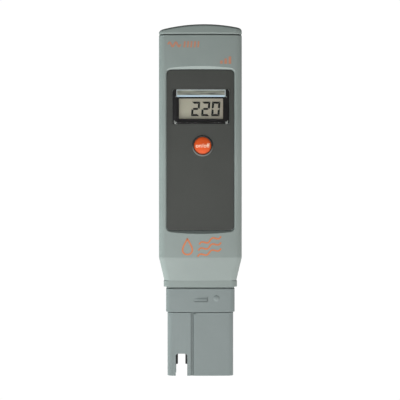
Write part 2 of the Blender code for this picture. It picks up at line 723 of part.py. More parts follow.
def make_tray(drawer):
    """The tray with four round pockets open to the rear, its link plates and its cells."""
    half = TRAY_HALF_WIDTH
    body = block((-half, half), (TRAY_FRONT, TRAY_REAR), (TRAY_BOTTOM, TRAY_TOP))
    tray = piece("battery_tray", body, "black_plastic", parent=drawer)
    tongue = block((-0.0080, 0.0080), (0.0045, 0.0065), (TRAY_TOP - 0.0005, TRAY_TOP + 0.0023))
    add(tray, tool("tray_tongue", tongue))
    number = 0
    for row, z in zip(("lower", "upper"), CELL_LEVELS):
        for x in (-CELL_X, CELL_X):
            number += 1
            at = (x, TRAY_FLOOR, z)
            pocket = rod(CELL_RADIUS + GAP, 0, 0.008, MEDIUM_SIDES)
            cut(tray, tool("cell_pocket", pocket, at, FACE_REAR))
            name = f"button_cell_{number}"
            can = [(0, 0), (0.0046, 0), (0.0046, 0.0006), (CELL_RADIUS, 0.0006)]
            can += [(CELL_RADIUS, CELL_THICK - 0.0004), (CELL_RADIUS - 0.0004, CELL_THICK)]
            can.append((0, CELL_THICK))
            foot = (x, TRAY_REAR - CELL_THICK, z)
            piece(name, turned(can, MEDIUM_SIDES), "steel", foot, FACE_REAR, drawer)
        channel = block((-0.0080, 0.0080), (TRAY_FLOOR, TRAY_FLOOR + 0.0008), (z - 0.0025, z + 0.0025))
        cut(tray, tool("link_channel", channel))
        plate_y = (TRAY_FLOOR + 0.0002, TRAY_FLOOR + 0.0005)
        plate = block((-0.0077, 0.0077), plate_y, (z - 0.0022, z + 0.0022))
        piece("cell_link_" + row, plate, "brass", parent=drawer)


# ---------------------------------------------------------------- probe


def probe_section(half_width, shrink, corner=0.0025, bulge=PROBE_BULGE):
    return outline(half_width, BODY_FRONT + shrink, BODY_REAR - shrink, corner, bulge, bulge)


def make_probe_gasket():
    outer = probe_section(0.0169, 0.0034)
    inner = probe_section(0.01525, 0.00465, 0.0018, 0)
    z = (COLLAR_TOP + GAP, LIP_BOTTOM - GAP)
    gasket = piece("probe_gasket", loft([level(h, outer) for h in z]), "seal_rubber")
    hole = loft([level(h, inner) for h in (z[0] - 0.001, z[1] + 0.001)])
    cut(gasket, tool("probe_gasket_hole", hole))


def make_collar():
    """The ring between housing and shroud. A raised catch, cut free along two of its sides,
    and a round pip hold the protective cap."""
    outer = probe_section(COLLAR_HALF_WIDTH, COLLAR_SHRINK)
    body = loft([level(h, outer) for h in (COLLAR_BOTTOM, COLLAR_TOP)])
    collar = piece("probe_collar", body, "light_grey_plastic")
    spigot = probe_section(MOUTH_HALF_WIDTH - 0.00035, MOUTH_SHRINK + 0.00035, 0.0018, 0)
    add(collar, tool("collar_spigot", loft([level(h, spigot) for h in (COLLAR_TOP - 0.001, SPIGOT_TOP)])))
    lower = probe_section(0.0144, 0.0055, 0.0015, 0)
    cut(collar, tool("collar_socket", loft([level(h, lower) for h in (COLLAR_BOTTOM - 0.001, 0.0420)])))
    upper = probe_section(0.0135, 0.0064, 0.0015, 0)
    cut(collar, tool("collar_bore", loft([level(h, upper) for h in (0.0415, SPIGOT_TOP + 0.001)])))
    face = BODY_FRONT + COLLAR_SHRINK
    proud, buried = face - 0.00035, face + 0.0006
    wedge = [(buried, 0.0398), (buried, 0.0372), (proud, 0.0372), (proud, 0.0377)]
    tongue = loft([[(x, y, z) for y, z in wedge] for x in (-0.0027, 0.0032)])
    pip = [(0, -0.001), (0.0015, -0.001), (0.0015, 0), (0.0010, 0.00028), (0, 0.00035)]
    bumps = group(
        (tongue, (0, 0, 0), (0, 0, 0)),
        (turned(pip, 16), (0.0080, face + 0.00005, 0.0386), FACE_FRONT),
    )
    add(collar, tool("catch_and_pip", bumps))
    depth = (face - 0.002, face + 0.0006)
    relief = [(-0.0027, 0.0368), (0.0036, 0.0368), (0.0036, 0.0396)]
    relief += [(0.0032, 0.0396), (0.0032, 0.0372), (-0.0027, 0.0372)]
    cut(collar, tool("catch_relief", loft([[(x, y, z) for x, z in relief] for y in depth])))


def chamber(name, low_x, high_x):
    """One of the two open-bottomed chambers inside the shroud."""
    inset = SHROUD_SHRINK + SHROUD_WALL
    section = outline((high_x - low_x) / 2, BODY_FRONT + inset, BODY_REAR - inset, 0.0010)
    middle = (low_x + high_x) / 2
    return tool(name, loft([level(h, section, middle) for h in (-0.001, CHAMBER_ROOF)]))


def make_shroud():
    """The probe's lower sleeve: two chambers, the slot through the left one, and a groove."""
    rim = 0.0003
    outer = [
        level(0, probe_section(SHROUD_HALF_WIDTH - rim, SHROUD_SHRINK + rim, 0.0025 - rim)),
        level(rim, probe_section(SHROUD_HALF_WIDTH, SHROUD_SHRINK)),
        level(SHROUD_TOP, probe_section(SHROUD_HALF_WIDTH, SHROUD_SHRINK)),
    ]
    shroud = piece("probe_shroud", loft(outer), "light_grey_plastic")
    plug = probe_section(0.01405, 0.00585, 0.0013, 0)
    add(shroud, tool("shroud_spigot", loft([level(h, plug) for h in (SHROUD_TOP - 0.001, 0.0417)])))
    cavity = probe_section(0.0129, 0.0069, 0.0010, 0)
    cut(shroud, tool("shroud_cavity", loft([level(h, cavity) for h in (CAVITY_FLOOR, 0.0430)])))
    outer_x = SHROUD_HALF_WIDTH - SHROUD_WALL
    cut(shroud, chamber("pin_chamber", -outer_x, DIVIDER_LEFT))
    cut(shroud, chamber("bulb_chamber", DIVIDER_RIGHT, outer_x))
    slot = outline(SLOT_HALF_WIDTH, -SLOT_TOP, SLOT_TOP, 0.0012)
    cut(shroud, tool("slot", prism_y(slot, -0.012, 0.013, SLOT_X)))
    flow = block((-0.0060, -0.0010), (-0.0015, 0.0027), (-0.001, 0.0070))
    cut(shroud, tool("divider_notch", flow))
    face = BODY_FRONT + SHROUD_SHRINK
    deep = face + 0.0010
    groove = [(-0.0048, face - 0.001), (-0.0032, face - 0.001), (-0.0032, face)]
    groove += [(-0.0036, deep), (-0.0048, deep)]
    cut(shroud, tool("front_groove", loft([level(h, groove) for h in (-0.001, SHROUD_TOP + 0.001)])))
    for x, radius in through_roof():
        hole = rod(radius + GAP, CHAMBER_ROOF - 0.001, CAVITY_FLOOR + 0.001, 16)
        cut(shroud, tool("roof_hole", hole, (x, BODY_MIDDLE_Y, 0)))


def pin_places():
    return (SLOT_X - PIN_SPREAD, SLOT_X + PIN_SPREAD)


def through_roof():
    """Place and radius of all that passes through the chambers' roof."""
    left_pin, right_pin = pin_places()
    pins = [(left_pin, PIN_RADIUS), (right_pin, PIN_RADIUS)]
    return [(STEM_X, STEM_RADIUS), (JUNCTION_X, JUNCTION_RADIUS), *pins]


def make_electrodes():
    """Glass stem with its thin bulb, the silver wire in it, the junction and the two pins."""
    centre = (STEM_X, BODY_MIDDLE_Y, 0)
    stem = rod(STEM_RADIUS, STEM_BOTTOM, STEM_TOP, MEDIUM_SIDES)
    tube = piece("electrode_stem", stem, "electrode_glass", centre)
    cut(tube, tool("stem_bore", rod(STEM_RADIUS - STEM_WALL, 0.0, 0.05, MEDIUM_SIDES), centre))

    outside, inside = [], []
    for step in range(7):
        angle = -math.pi / 2 + math.pi * 0.78 * step / 6
        outside.append((BULB_RADIUS * math.cos(angle), BULB_CENTRE + BULB_RADIUS * math.sin(angle)))
        thin = BULB_RADIUS - 0.0005
        inside.append((thin * math.cos(angle), BULB_CENTRE + thin * math.sin(angle)))
    outside[0] = (0, outside[0][1])
    inside[0] = (0, inside[0][1])
    shell = turned(outside + inside[::-1], MEDIUM_SIDES)
    piece("electrode_bulb", shell, "electrode_glass", centre)

    piece("silver_wire", rod(0.0004, 0.0080, 0.0410, 8), "silver", centre)
    junction = (JUNCTION_X, BODY_MIDDLE_Y, 0)
    piece("reference_junction", rod(JUNCTION_RADIUS, 0.0120, 0.0165), "ceramic", junction)
    piece("reference_wire", rod(0.0004, 0.0168, 0.0400, 8), "silver", junction)
    for side, x in zip(("left", "right"), pin_places()):
        profile = [(0, PIN_TIP), (0.0005, PIN_TIP), (PIN_RADIUS, PIN_TIP + 0.0003)]
        profile += [(PIN_RADIUS, PIN_TOP), (0, PIN_TOP)]
        pin = turned(profile, COARSE_SIDES)
        piece("sensing_pin_" + side, pin, "graphite", (x, BODY_MIDDLE_Y, 0))


def make_potting():
    """The resin that seals stem, junction and pins above the roof of the chambers."""
    section = probe_section(0.0126, 0.0072, 0.0008, 0)
    body = loft([level(h, section) for h in (CAVITY_FLOOR + GAP, 0.0210)])
    resin = piece("electrode_potting", body, "resin")
    for x, radius in through_roof():
        cut(resin, tool("potting_hole", rod(radius + GAP, 0.010, 0.030, 16), (x, BODY_MIDDLE_Y, 0)))


def smooth_route(points, steps):
    """Catmull-Rom points through the route's own points."""
    ends = [points[0] * 2 - points[1], *points, points[-1] * 2 - points[-2]]
    route = []
    for a, b, c, d in zip(ends, ends[1:], ends[2:], ends[3:]):
        for i in range(steps):
            t = i / steps
            square = (2 * a - 5 * b + 4 * c - d) * t**2
            cube = (3 * b - a - 3 * c + d) * t**3
            route.append(0.5 * (2 * b + (c - a) * t + square + cube))
    return route + [points[-1]]


def make_leads():
    """Four thin leads, from the electrodes up through the collar to the board's connector."""
    left_pin, right_pin = pin_places()
    starts = (
        ("lead_left_pin", "black_lead", left_pin, PIN_TOP + GAP, -0.00375),
        ("lead_right_pin", "black_lead", right_pin, PIN_TOP + GAP, -0.00125),
        ("lead_glass", "red_lead", STEM_X, 0.0410 + GAP, 0.00125),
        ("lead_reference", "red_lead", JUNCTION_X, 0.0400 + GAP, 0.00375),
    )
    top = 0.0670 - GAP
    for name, material, x, low, socket_x in starts:
        low_point = Vector((x, BODY_MIDDLE_Y, low))
        high_point = Vector((socket_x, BOARD_REAR + 0.0020, top))
        middle = (low_point + high_point) / 2
        points = [low_point, low_point + Vector((0, 0, 0.004)), middle]
        points += [high_point - Vector((0, 0, 0.004)), high_point]
        curve = bpy.data.curves.new(name, "CURVE")
        curve.dimensions = "3D"
        curve.bevel_depth = 0.0005
        curve.bevel_resolution = 2  # eight sides
        curve.use_fill_caps = True
        route = smooth_route(points, 3)
        spline = curve.splines.new("POLY")
        spline.points.add(len(route) - 1)
        for knot, point in zip(spline.points, route):
            knot.co = (*point, 1)
        place(name, curve, material)


def main():
    clear_scene()
    make_front_shell()
    make_rear_shell()
    make_case_screws()
    make_front_panel()
    make_display_window()
    make_display()
    make_button()
    make_board()
    make_components()
    make_trimmers()
    make_battery_contacts()
    drawer = empty("battery_drawer", (0, (TRAY_FRONT + TRAY_REAR) / 2, TRAY_TOP))
    make_battery_cap(drawer)
    make_tray(drawer)
    make_probe_gasket()
    make_collar()
    make_shroud()
    make_electrodes()
    make_potting()
    make_leads()


main()
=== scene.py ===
"""Looks of the pocket digital pH meter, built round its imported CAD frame.

Metres, +Z up, the display faces -Y, as in the frame. The outside pieces are rebuilt finer than
their CAD nodes, in the same places and to the same sizes; what is inside keeps its CAD node and
gets a procedural material. Local +Z of a turned piece is its axis.
"""

import math

import bmesh
import bpy
from mathutils import Euler, Matrix, Vector


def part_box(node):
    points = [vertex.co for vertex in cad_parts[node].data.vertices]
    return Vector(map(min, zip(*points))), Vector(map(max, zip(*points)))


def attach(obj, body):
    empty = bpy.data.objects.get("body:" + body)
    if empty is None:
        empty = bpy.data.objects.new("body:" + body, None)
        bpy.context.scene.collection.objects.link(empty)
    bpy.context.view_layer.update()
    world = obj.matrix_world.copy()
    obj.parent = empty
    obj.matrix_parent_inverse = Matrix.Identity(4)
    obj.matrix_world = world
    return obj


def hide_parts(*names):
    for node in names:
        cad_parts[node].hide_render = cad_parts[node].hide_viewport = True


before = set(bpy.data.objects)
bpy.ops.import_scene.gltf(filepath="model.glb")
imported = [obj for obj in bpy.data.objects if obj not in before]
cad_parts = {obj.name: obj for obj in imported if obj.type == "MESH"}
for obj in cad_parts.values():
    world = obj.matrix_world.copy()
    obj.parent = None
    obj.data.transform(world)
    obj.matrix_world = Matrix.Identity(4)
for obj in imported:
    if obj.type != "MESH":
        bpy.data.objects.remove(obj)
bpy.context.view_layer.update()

GAP = 0.0003  # air between neighbouring pieces, as in the CAD
FACE_FRONT = (math.pi / 2, 0, 0)
FACE_REAR = (-math.pi / 2, 0, 0)


def low(node):
    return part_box(node)[0]


def high(node):
    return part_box(node)[1]


def middle(node):
    return (low(node) + high(node)) / 2


def half_span(node):
    """Half of its width; the radius of what stands upright and is round."""
    return (high(node).x - low(node).x) / 2


# ---- housing
BODY_HALF_WIDTH = high("front_shell").x
BODY_FRONT = low("front_shell").y
BODY_REAR = high("rear_shell").y
BODY_MIDDLE_Y = (BODY_FRONT + BODY_REAR) / 2
LIP_BOTTOM = low("front_shell").z
SHELL_TOP = high("front_shell").z
CAP_FOOT = SHELL_TOP + GAP
CAP_TOP = high("battery_cap").z
PART_LINE_Y = (high("front_shell").y + low("rear_shell").y) / 2
FRONT_BULGE = 0.0010
BODY_CORNER = 0.0035
WALL = 0.0022
FRONT_WALL = 0.0026
LIP_TOP = 0.0472
TAPER_TOP = 0.0589
TOP_WALL = 0.0023
LIP_HALF_WIDTH = 0.0183
LIP_SHRINK = 0.0021
FOOT_HALF_WIDTH = 0.0180
FOOT_SHRINK = 0.0021
MOUTH_HALF_WIDTH = 0.0153
MOUTH_SHRINK = 0.0046
CAP_ARCH = 0.0024
CAP_CROWN_X = 0.0020
CAP_ROUND = 0.0012

# ---- panel, display and button
PANEL_HALF_WIDTH = 0.01675
PANEL_BOTTOM = 0.0723
PANEL_TOP = 0.1521
PANEL_CORNER = 0.0020
PANEL_BOW = 0.0002
PANEL_THICK = 0.0005
PANEL_BACK = high("front_panel").y
PANEL_FRONT = PANEL_BACK - PANEL_THICK
RECESS_FLOOR = PANEL_BACK + GAP
RECESS_SLOPE = 1.37
WINDOW_LOW, WINDOW_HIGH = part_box("display_window")
DISPLAY_X = middle("display_window").x
APERTURE_HALF_WIDTH = 0.0109
APERTURE_BOTTOM = 0.1275
APERTURE_TOP = 0.1377
BUTTON = middle("power_button")
BUTTON_RADIUS = 0.0042
BUTTON_TOP = low("power_button").y

# ---- battery drawer
TRAY_HALF_WIDTH = high("battery_tray").x
TRAY_FRONT = low("battery_tray").y
TRAY_REAR = high("battery_tray").y
TRAY_TOP = 0.1663

# ---- probe
COLLAR_HALF_WIDTH = high("probe_collar").x
COLLAR_SHRINK = 0.0032
COLLAR_BOTTOM = low("probe_collar").z
COLLAR_TOP = 0.0434
SPIGOT_TOP = high("probe_collar").z
SHROUD_HALF_WIDTH = high("probe_shroud").x
SHROUD_SHRINK = 0.0039
SHROUD_TOP = 0.0315
SHROUD_WALL = 0.0016
PROBE_BULGE = 0.0004
CHAMBER_ROOF = 0.0130
CAVITY_FLOOR = 0.0155
DIVIDER_LEFT = -0.0045
DIVIDER_RIGHT = -0.0029
SLOT_X = -0.0094
SLOT_HALF_WIDTH = 0.00285
SLOT_TOP = 0.0110

# ---- how finely curves are cut
CORNER_STEPS = 10
EDGE_STEPS = 6
SIDES = 64
FEWER_SIDES = 32
POST_SIDES = 24

# ---- Boolean operations, and the corners of a square in order
ADD, CUT, KEEP = "UNION", "DIFFERENCE", "INTERSECT"
SQUARE = ((-1, -1), (1, -1), (1, 1), (-1, 1))
OVERSHOOT = 0.001  # how far a cutter reaches past what it cuts


# ---------------------------------------------------------------- mesh helpers


def join_rows(bm, rows, closed):
    """Faces between each row of points and the next, and from the last to the first."""
    count = len(rows[0])
    for first, second in zip(rows, rows[1:] + rows[:1] if closed else rows[1:]):
        for i in range(count):
            j = (i + 1) % count
            bm.faces.new((first[i], first[j], second[j], second[i]))


def loft(rings):
    """A closed bmesh through rings of equal count, with flat ends."""
    bm = bmesh.new()
    loops = [[bm.verts.new(point) for point in ring] for ring in rings]
    join_rows(bm, loops, closed=False)
    bm.faces.new(loops[0])
    bm.faces.new(loops[-1])
    return bm


def half_edge(half_width, reach, corner, bulge):
    """(u, v) points from the straight side to the middle of an edge that bows out by `bulge`."""
    if bulge > 0:
        bow = (half_width**2 + bulge**2) / (2 * bulge)
        centre = reach - bow + math.sqrt((bow - corner) ** 2 - (half_width - corner) ** 2)
        lean = math.atan2(centre - (reach - bow), half_width - corner)
    else:
        centre = reach - corner
        lean = math.pi / 2
    points = []
    for i in range(CORNER_STEPS + 1):
        angle = lean * i / CORNER_STEPS
        u = half_width - corner + corner * math.cos(angle)
        points.append((u, centre + corner * math.sin(angle)))
    last = points[-1][0]
    for i in range(1, EDGE_STEPS + 1):
        u = last * (1 - i / EDGE_STEPS)
        drop = bow - math.sqrt(bow**2 - u**2) if bulge > 0 else 0.0
        points.append((u, reach - drop))
    return points


def outline(half_width, low_v, high_v, corner, low_bulge=0.0, high_bulge=0.0):
    """A rounded rectangle in (u, v), anticlockwise, whose two long edges may bow out."""
    centre = (low_v + high_v) / 2
    reach = high_v - centre
    lower = [(u, centre - v) for u, v in half_edge(half_width, reach, corner, low_bulge)]
    upper = [(u, centre + v) for u, v in half_edge(half_width, reach, corner, high_bulge)]
    right = lower[::-1] + upper
    return right + [(-u, v) for u, v in right[::-1][1:-1]]


def level(z, section, x=0.0):
    return [(x + u, v, z) for u, v in section]


def depth_plane(y, section, x=0.0):
    return [(x + u, y, v) for u, v in section]


def prism_y(section, front, rear, x=0.0):
    return loft([depth_plane(front, section, x), depth_plane(rear, section, x)])


def display_prism(half, bottom, top, corner, front, rear):
    """A rounded rectangle about the display's middle, between two depths."""
    return prism_y(outline(half, bottom, top, corner), front, rear, DISPLAY_X)


def prism_z(section, bottom, top, x=0.0):
    return loft([level(bottom, section, x), level(top, section, x)])


def block(x, y, z):
    """A box from three (low, high) pairs."""
    return prism_z([(x[0], y[0]), (x[1], y[0]), (x[1], y[1]), (x[0], y[1])], *z)


def rounded(path, radii, steps=5):
    """The path with each of its inner corners replaced by a short curve of that reach."""
    points = [Vector(path[0])]
    for before, corner, after, radius in zip(path, path[1:], path[2:], radii):
        corner = Vector(corner)
        start = corner + (Vector(before) - corner).normalized() * radius
        end = corner + (Vector(after) - corner).normalized() * radius
        for i in range(steps + 1):
            t = i / steps
            points.append(start.lerp(corner, t).lerp(corner.lerp(end, t), t))
    points.append(Vector(path[-1]))
    return points


def turned(profile, sides=SIDES):
    """A solid of revolution about Z from (radius, height) points that start and end on the axis."""
    bm = bmesh.new()
    loops = []
    turn = [2 * math.pi * i / sides for i in range(sides)]
    for radius, height in profile:
        around = turn if radius else [0]
        points = [(radius * math.cos(a), radius * math.sin(a), height) for a in around]
        loops.append([bm.verts.new(point) for point in points])
    for lower, upper in zip(loops, loops[1:]):
        for i in range(sides):
            j = (i + 1) % sides
            ends = (lower[i % len(lower)], lower[j % len(lower)])
            ends += (upper[j % len(upper)], upper[i % len(upper)])
            bm.faces.new(list(dict.fromkeys(ends)))
    return bm


def ring_of(section):
    """A ring with that (radius, height) section, closed on itself."""
    bm = bmesh.new()
    rows = []
    for i in range(SIDES):
        angle = 2 * math.pi * i / SIDES
        points = [(r * math.cos(angle), r * math.sin(angle), h) for r, h in section]
        rows.append([bm.verts.new(point) for point in points])
    join_rows(bm, rows, closed=True)
    return bm


def rod(radius, start, end, sides=SIDES):
    return turned([(0, start), (radius, start), (radius, end), (0, end)], sides)


def moved(bm, location, rotation=(0, 0, 0)):
    bm.transform(Matrix.LocRotScale(Vector(location), Euler(rotation), None))
    return bm


def group(*pieces):
    """One bmesh that holds all of them. None may touch another."""
    whole = bmesh.new()
    for bm in pieces:
        mesh = bpy.data.meshes.new("grouped")
        bm.to_mesh(mesh)
        bm.free()
        whole.from_mesh(mesh)
        bpy.data.meshes.remove(mesh)
    return whole


def add_object(name, data):
    obj = bpy.data.objects.new(name, data)
    bpy.context.scene.collection.objects.link(obj)
    return obj


def new_object(name, bm):
    bmesh.ops.recalc_face_normals(bm, faces=bm.faces)
    mesh = bpy.data.meshes.new(name)
    bm.to_mesh(mesh)
    bm.free()
    return add_object(name, mesh)


def final_mesh(obj):
    """The object's mesh with its modifiers applied, or the mesh that a text makes."""
    graph = bpy.context.evaluated_depsgraph_get()
    return bpy.data.meshes.new_from_object(obj.evaluated_get(graph))


def carve(name, bm, *steps):
    """The bmesh after each (operation, tool) in turn, as an object with nothing left to apply."""
    obj = new_object(name, bm)
    tools = []
    for operation, tool in steps:
        other = new_object(f"{name}_tool_{len(tools)}", tool)
        modifier = obj.modifiers.new(other.name, "BOOLEAN")
        modifier.operation = operation
        modifier.solver = "EXACT"
        modifier.object = other
        tools.append(other)
    mesh = final_mesh(obj)
    obj.modifiers.clear()
    obj.data = mesh
    for other in tools:
        bpy.data.objects.remove(other)
    return obj


def dress(obj, material, body="housing", stands_for=(), smooth_below=35):
    """Shades the piece, gives it its material, and fixes it to its CAD body."""
    obj.data.materials.clear()
    obj.data.materials.append(material)
    obj.data.shade_smooth()
    obj.data.set_sharp_from_angle(angle=math.radians(smooth_below))
    weighted = obj.modifiers.new("flat_faces_stay_flat", "WEIGHTED_NORMAL")
    weighted.keep_sharp = True
    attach(obj, body)
    if stands_for:
        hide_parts(*stands_for)
    return obj


# ---------------------------------------------------------------- materials


def add_node(tree, kind, inputs=None, **settings):
    """A shader node; an input is a number, a colour or another node's output."""
    made = tree.nodes.new("ShaderNode" + kind)
    for key, value in settings.items():
        setattr(made, key, value)
    for key, value in (inputs or {}).items():
        if isinstance(value, bpy.types.NodeSocket):
            tree.links.new(value, made.inputs[key])
        else:
            made.inputs[key].default_value = value
    return made


def own_metres(tree):
    return add_node(tree, "TexCoord").outputs["Object"]


def split(tree, vector):
    """The X, Y and Z outputs of a vector, by name."""
    return add_node(tree, "SeparateXYZ", {0: vector}).outputs


def noise(tree, scale, detail=2.0, vector=None):
    """Noise over the piece's own metres, from about 0.3 to 0.7."""
    inputs = {"Vector": vector or own_metres(tree), "Scale": scale, "Detail": detail}
    return add_node(tree, "TexNoise", inputs).outputs[0]


def stretched(tree, x, y, z):
    """The piece's own metres, scaled differently along each axis."""
    inputs = {"Vector": own_metres(tree), "Scale": (x, y, z)}
    return add_node(tree, "Mapping", inputs).outputs[0]


def spread(tree, value, to_min, to_max, from_min=0.3, from_max=0.7):
    inputs = {0: value, 1: from_min, 2: from_max, 3: to_min, 4: to_max}
    return add_node(tree, "MapRange", inputs).outputs[0]


def mix(tree, factor, first, second):
    """A colour between two; a colour of three channels is opaque."""
    first, second = ((*c, 1) if isinstance(c, tuple) and len(c) == 3 else c for c in (first, second))
    inputs = {0: factor, 6: first, 7: second}
    return add_node(tree, "Mix", inputs, data_type="RGBA").outputs[2]


def calculate(tree, operation, first, second=0.0):
    return add_node(tree, "Math", {0: first, 1: second}, operation=operation).outputs[0]


def shade(colour, factor):
    return (*(min(1.0, channel * factor) for channel in colour), 1.0)


def bump(tree, height, distance):
    return add_node(tree, "Bump", {"Height": height, "Distance": distance}).outputs[0]


def new_material(name):
    material = bpy.data.materials.new(name)
    material.use_nodes = True
    return material, material.node_tree, material.node_tree.nodes["Principled BSDF"]


def set_inputs(tree, shader, **values):
    """Principled inputs by name, with _ for a space; an output is linked."""
    for key, value in values.items():
        socket = shader.inputs[key.replace("_", " ")]
        if isinstance(value, bpy.types.NodeSocket):
            tree.links.new(value, socket)
        else:
            socket.default_value = value


FLAT_TO_EDGE = (0.53, 0.62)  # pointiness of a flat face and of a full edge
LEVEL_TO_UP = (0.15, 0.55)  # the normal's Z where the painted shade on upward faces begins, and where it is full
# how much paler a full edge gets: part handling wear, part painted highlight
RUBBED_AND_HIGHLIGHT_SHADE = 1.35
# how dark the painted shade on upward faces gets
TOP_SHADE_FACTOR = 0.15


def moulded(
    name,
    colour,
    roughness,
    grain=0.00030,
    depth=0.000012,
    mottle=0.05,
    wear_and_highlight=0.35,
    sheen=0.5,
    painted_top_shade=0.0,
):
    """Moulded plastic or rubber: a fine eroded grain from the mould, slight clouds in colour and
    gloss, and paler edges that are part handling wear, part painted highlight. What faces up is
    darker, a painted shade."""
    material, tree, shader = new_material(name)
    clouds = noise(tree, 55, 4)
    tint = mix(tree, clouds, shade(colour, 1 - 2 * mottle), shade(colour, 1 + 2 * mottle))
    geometry = add_node(tree, "NewGeometry").outputs
    # paler edges: part handling wear, part painted highlight
    edge = spread(tree, geometry["Pointiness"], 0.0, wear_and_highlight, *FLAT_TO_EDGE)
    tint = mix(tree, edge, tint, shade(colour, RUBBED_AND_HIGHLIGHT_SHADE))
    # painted shade: faces that look up are darkened as if no light came from above
    if painted_top_shade:
        facing_up = spread(tree, split(tree, geometry["Normal"])["Z"], 0.0, painted_top_shade, *LEVEL_TO_UP)
        tint = mix(tree, facing_up, tint, shade(colour, TOP_SHADE_FACTOR))
    gloss = spread(tree, noise(tree, 420, 3), roughness * 0.88, roughness * 1.12)
    height = bump(tree, noise(tree, 1 / grain, 2), depth)
    set_inputs(tree, shader, Base_Color=tint, Roughness=gloss, Normal=height)
    set_inputs(tree, shader, Specular_IOR_Level=sheen)
    return material


def metal(name, colour, roughness, brushed=(40, 40, 4000)):
    """Brushed metal: fine scratches along one axis, and dull patches."""
    material, tree, shader = new_material(name)
    lines = noise(tree, 1.0, 3, stretched(tree, *brushed))
    patches = noise(tree, 300, 3)
    tint = mix(tree, patches, shade(colour, 0.8), shade(colour, 1.1))
    gloss = spread(tree, lines, roughness * 0.7, roughness * 1.4)
    set_inputs(tree, shader, Base_Color=tint, Roughness=gloss, Metallic=1.0)
    set_inputs(tree, shader, Normal=bump(tree, lines, 0.000004))
    return material


def glass(name, colour, roughness, ior=1.49):
    """Clear plastic or glass with faint smears that change its gloss."""
    material, tree, shader = new_material(name)
    smear = spread(tree, noise(tree, 260, 4), roughness * 0.6, roughness * 1.6)
    set_inputs(tree, shader, Base_Color=(*colour, 1.0), Roughness=smear, IOR=ior)
    set_inputs(tree, shader, Transmission_Weight=1.0)
    return material


def board_material():
    """Green solder mask over tracks that stand a little proud, with tinned pads."""
    material, tree, shader = new_material("board_mask")
    place = own_metres(tree)
    upright = add_node(tree, "Mapping", {"Vector": place, "Rotation": FACE_FRONT})
    inputs = {"Vector": upright.outputs[0], "Scale": 160.0, "Mortar Size": 0.06}
    tracks = add_node(tree, "TexBrick", inputs).outputs["Fac"]
    cells = add_node(tree, "TexVoronoi", {"Vector": place, "Scale": 420.0}).outputs[0]
    pads = spread(tree, cells, 1.0, 0.0, 0.16, 0.20)
    green = mix(tree, tracks, (0.012, 0.10, 0.045), (0.03, 0.20, 0.08))
    tint = mix(tree, pads, green, (0.62, 0.61, 0.57))
    gloss = spread(tree, noise(tree, 500, 3), 0.28, 0.42)
    set_inputs(tree, shader, Base_Color=tint, Roughness=gloss, Metallic=pads)
    set_inputs(tree, shader, Normal=bump(tree, tracks, 0.00002))
    return material


def lcd_material():
    """The display's grey-green reflector: brushed very finely, with painted shade that darkens it to
    the right.
    """
    material, tree, shader = new_material("lcd_reflector")
    # Painted shade: the base colour darkens from left to right.
    across = split(tree, own_metres(tree))["X"]
    share = spread(tree, across, 0.0, 1.0, low("lcd_glass").x, high("lcd_glass").x)
    base = mix(tree, share, (0.415, 0.390, 0.300), (0.385, 0.335, 0.262))
    grain = noise(tree, 1.0, 2, stretched(tree, 900, 900, 5000))
    speckle = mix(tree, spread(tree, grain, 0.0, 0.16), base, (0.62, 0.59, 0.48))
    gloss = spread(tree, noise(tree, 700, 2), 0.42, 0.55)
    set_inputs(tree, shader, Base_Color=speckle, Roughness=gloss)
    return material


def bevel_reflection_paint(half_width, bottom, top):
    """Painted reflection for the window's upper bevel: streaky between painted highlight lines above
    and below, with paler ends.
    """
    material, tree, shader = new_material("painted_bevel_reflection")
    place = split(tree, own_metres(tree))
    # Painted: the streaky middle stands for a reflection, the pale lines and the ends for highlights.
    reflected_streaks = noise(tree, 1.0, 4, stretched(tree, 110, 110, 1500))
    tint = mix(tree, spread(tree, reflected_streaks, 0.0, 1.0), (0.03, 0.035, 0.032), (0.38, 0.385, 0.31))
    below = spread(tree, place["Z"], 1.0, 0.0, bottom + 0.0006, bottom + 0.0010)
    tint = mix(tree, below, tint, (0.56, 0.70, 0.80))
    above = spread(tree, place["Z"], 0.0, 1.0, top - 0.0005, top - 0.0002)
    tint = mix(tree, above, tint, (0.52, 0.58, 0.58))
    aside = calculate(tree, "SUBTRACT", place["X"], DISPLAY_X)
    aside = calculate(tree, "ABSOLUTE", aside)
    ends = spread(tree, aside, 0.0, 1.0, half_width - 0.0006, half_width - 0.0003)
    tint = mix(tree, ends, tint, (0.40, 0.44, 0.44))
    gloss = spread(tree, reflected_streaks, 0.25, 0.5)
    set_inputs(tree, shader, Base_Color=tint, Roughness=gloss)
    return material


INK = {"grain": 0.00015, "depth": 0.000004}
LEAD = {"roughness": 0.42, "depth": 0.000006}
# The housing and the cap are darker on their upward faces, a painted shade; their paler edges are part
# wear, part painted highlight.
housing_plastic = moulded("housing_plastic", (0.236, 0.273, 0.258), 0.46, painted_top_shade=0.4)
cap_plastic = moulded("cap_plastic", (0.222, 0.258, 0.242), 0.46, mottle=0.06, wear_and_highlight=0.2, painted_top_shade=0.45)
probe_plastic = moulded("probe_plastic", (0.196, 0.228, 0.224), 0.50, grain=0.00024, mottle=0.04)
panel_plastic = moulded("panel_plastic", (0.050, 0.052, 0.047), 0.50, 0.00022, mottle=0.06, sheen=0.35)
black_plastic = moulded("black_plastic", (0.014, 0.013, 0.013), 0.34, mottle=0.08)
mask_ink = moulded("mask_ink", (0.010, 0.009, 0.009), 0.60, **INK, sheen=0.1)
button_rubber = moulded("button_rubber", (0.64, 0.083, 0.013), 0.46, grain=0.00020, sheen=0.3)
print_ink = moulded("print_ink", (0.50, 0.155, 0.062), 0.50, **INK)
label_ink = moulded("label_ink", (0.42, 0.18, 0.11), 0.50, **INK)
caption_ink = moulded("caption_ink", (0.92, 0.72, 0.56), 0.45, **INK)
seal_rubber = moulded("seal_rubber", (0.085, 0.095, 0.092), 0.78, mottle=0.08)
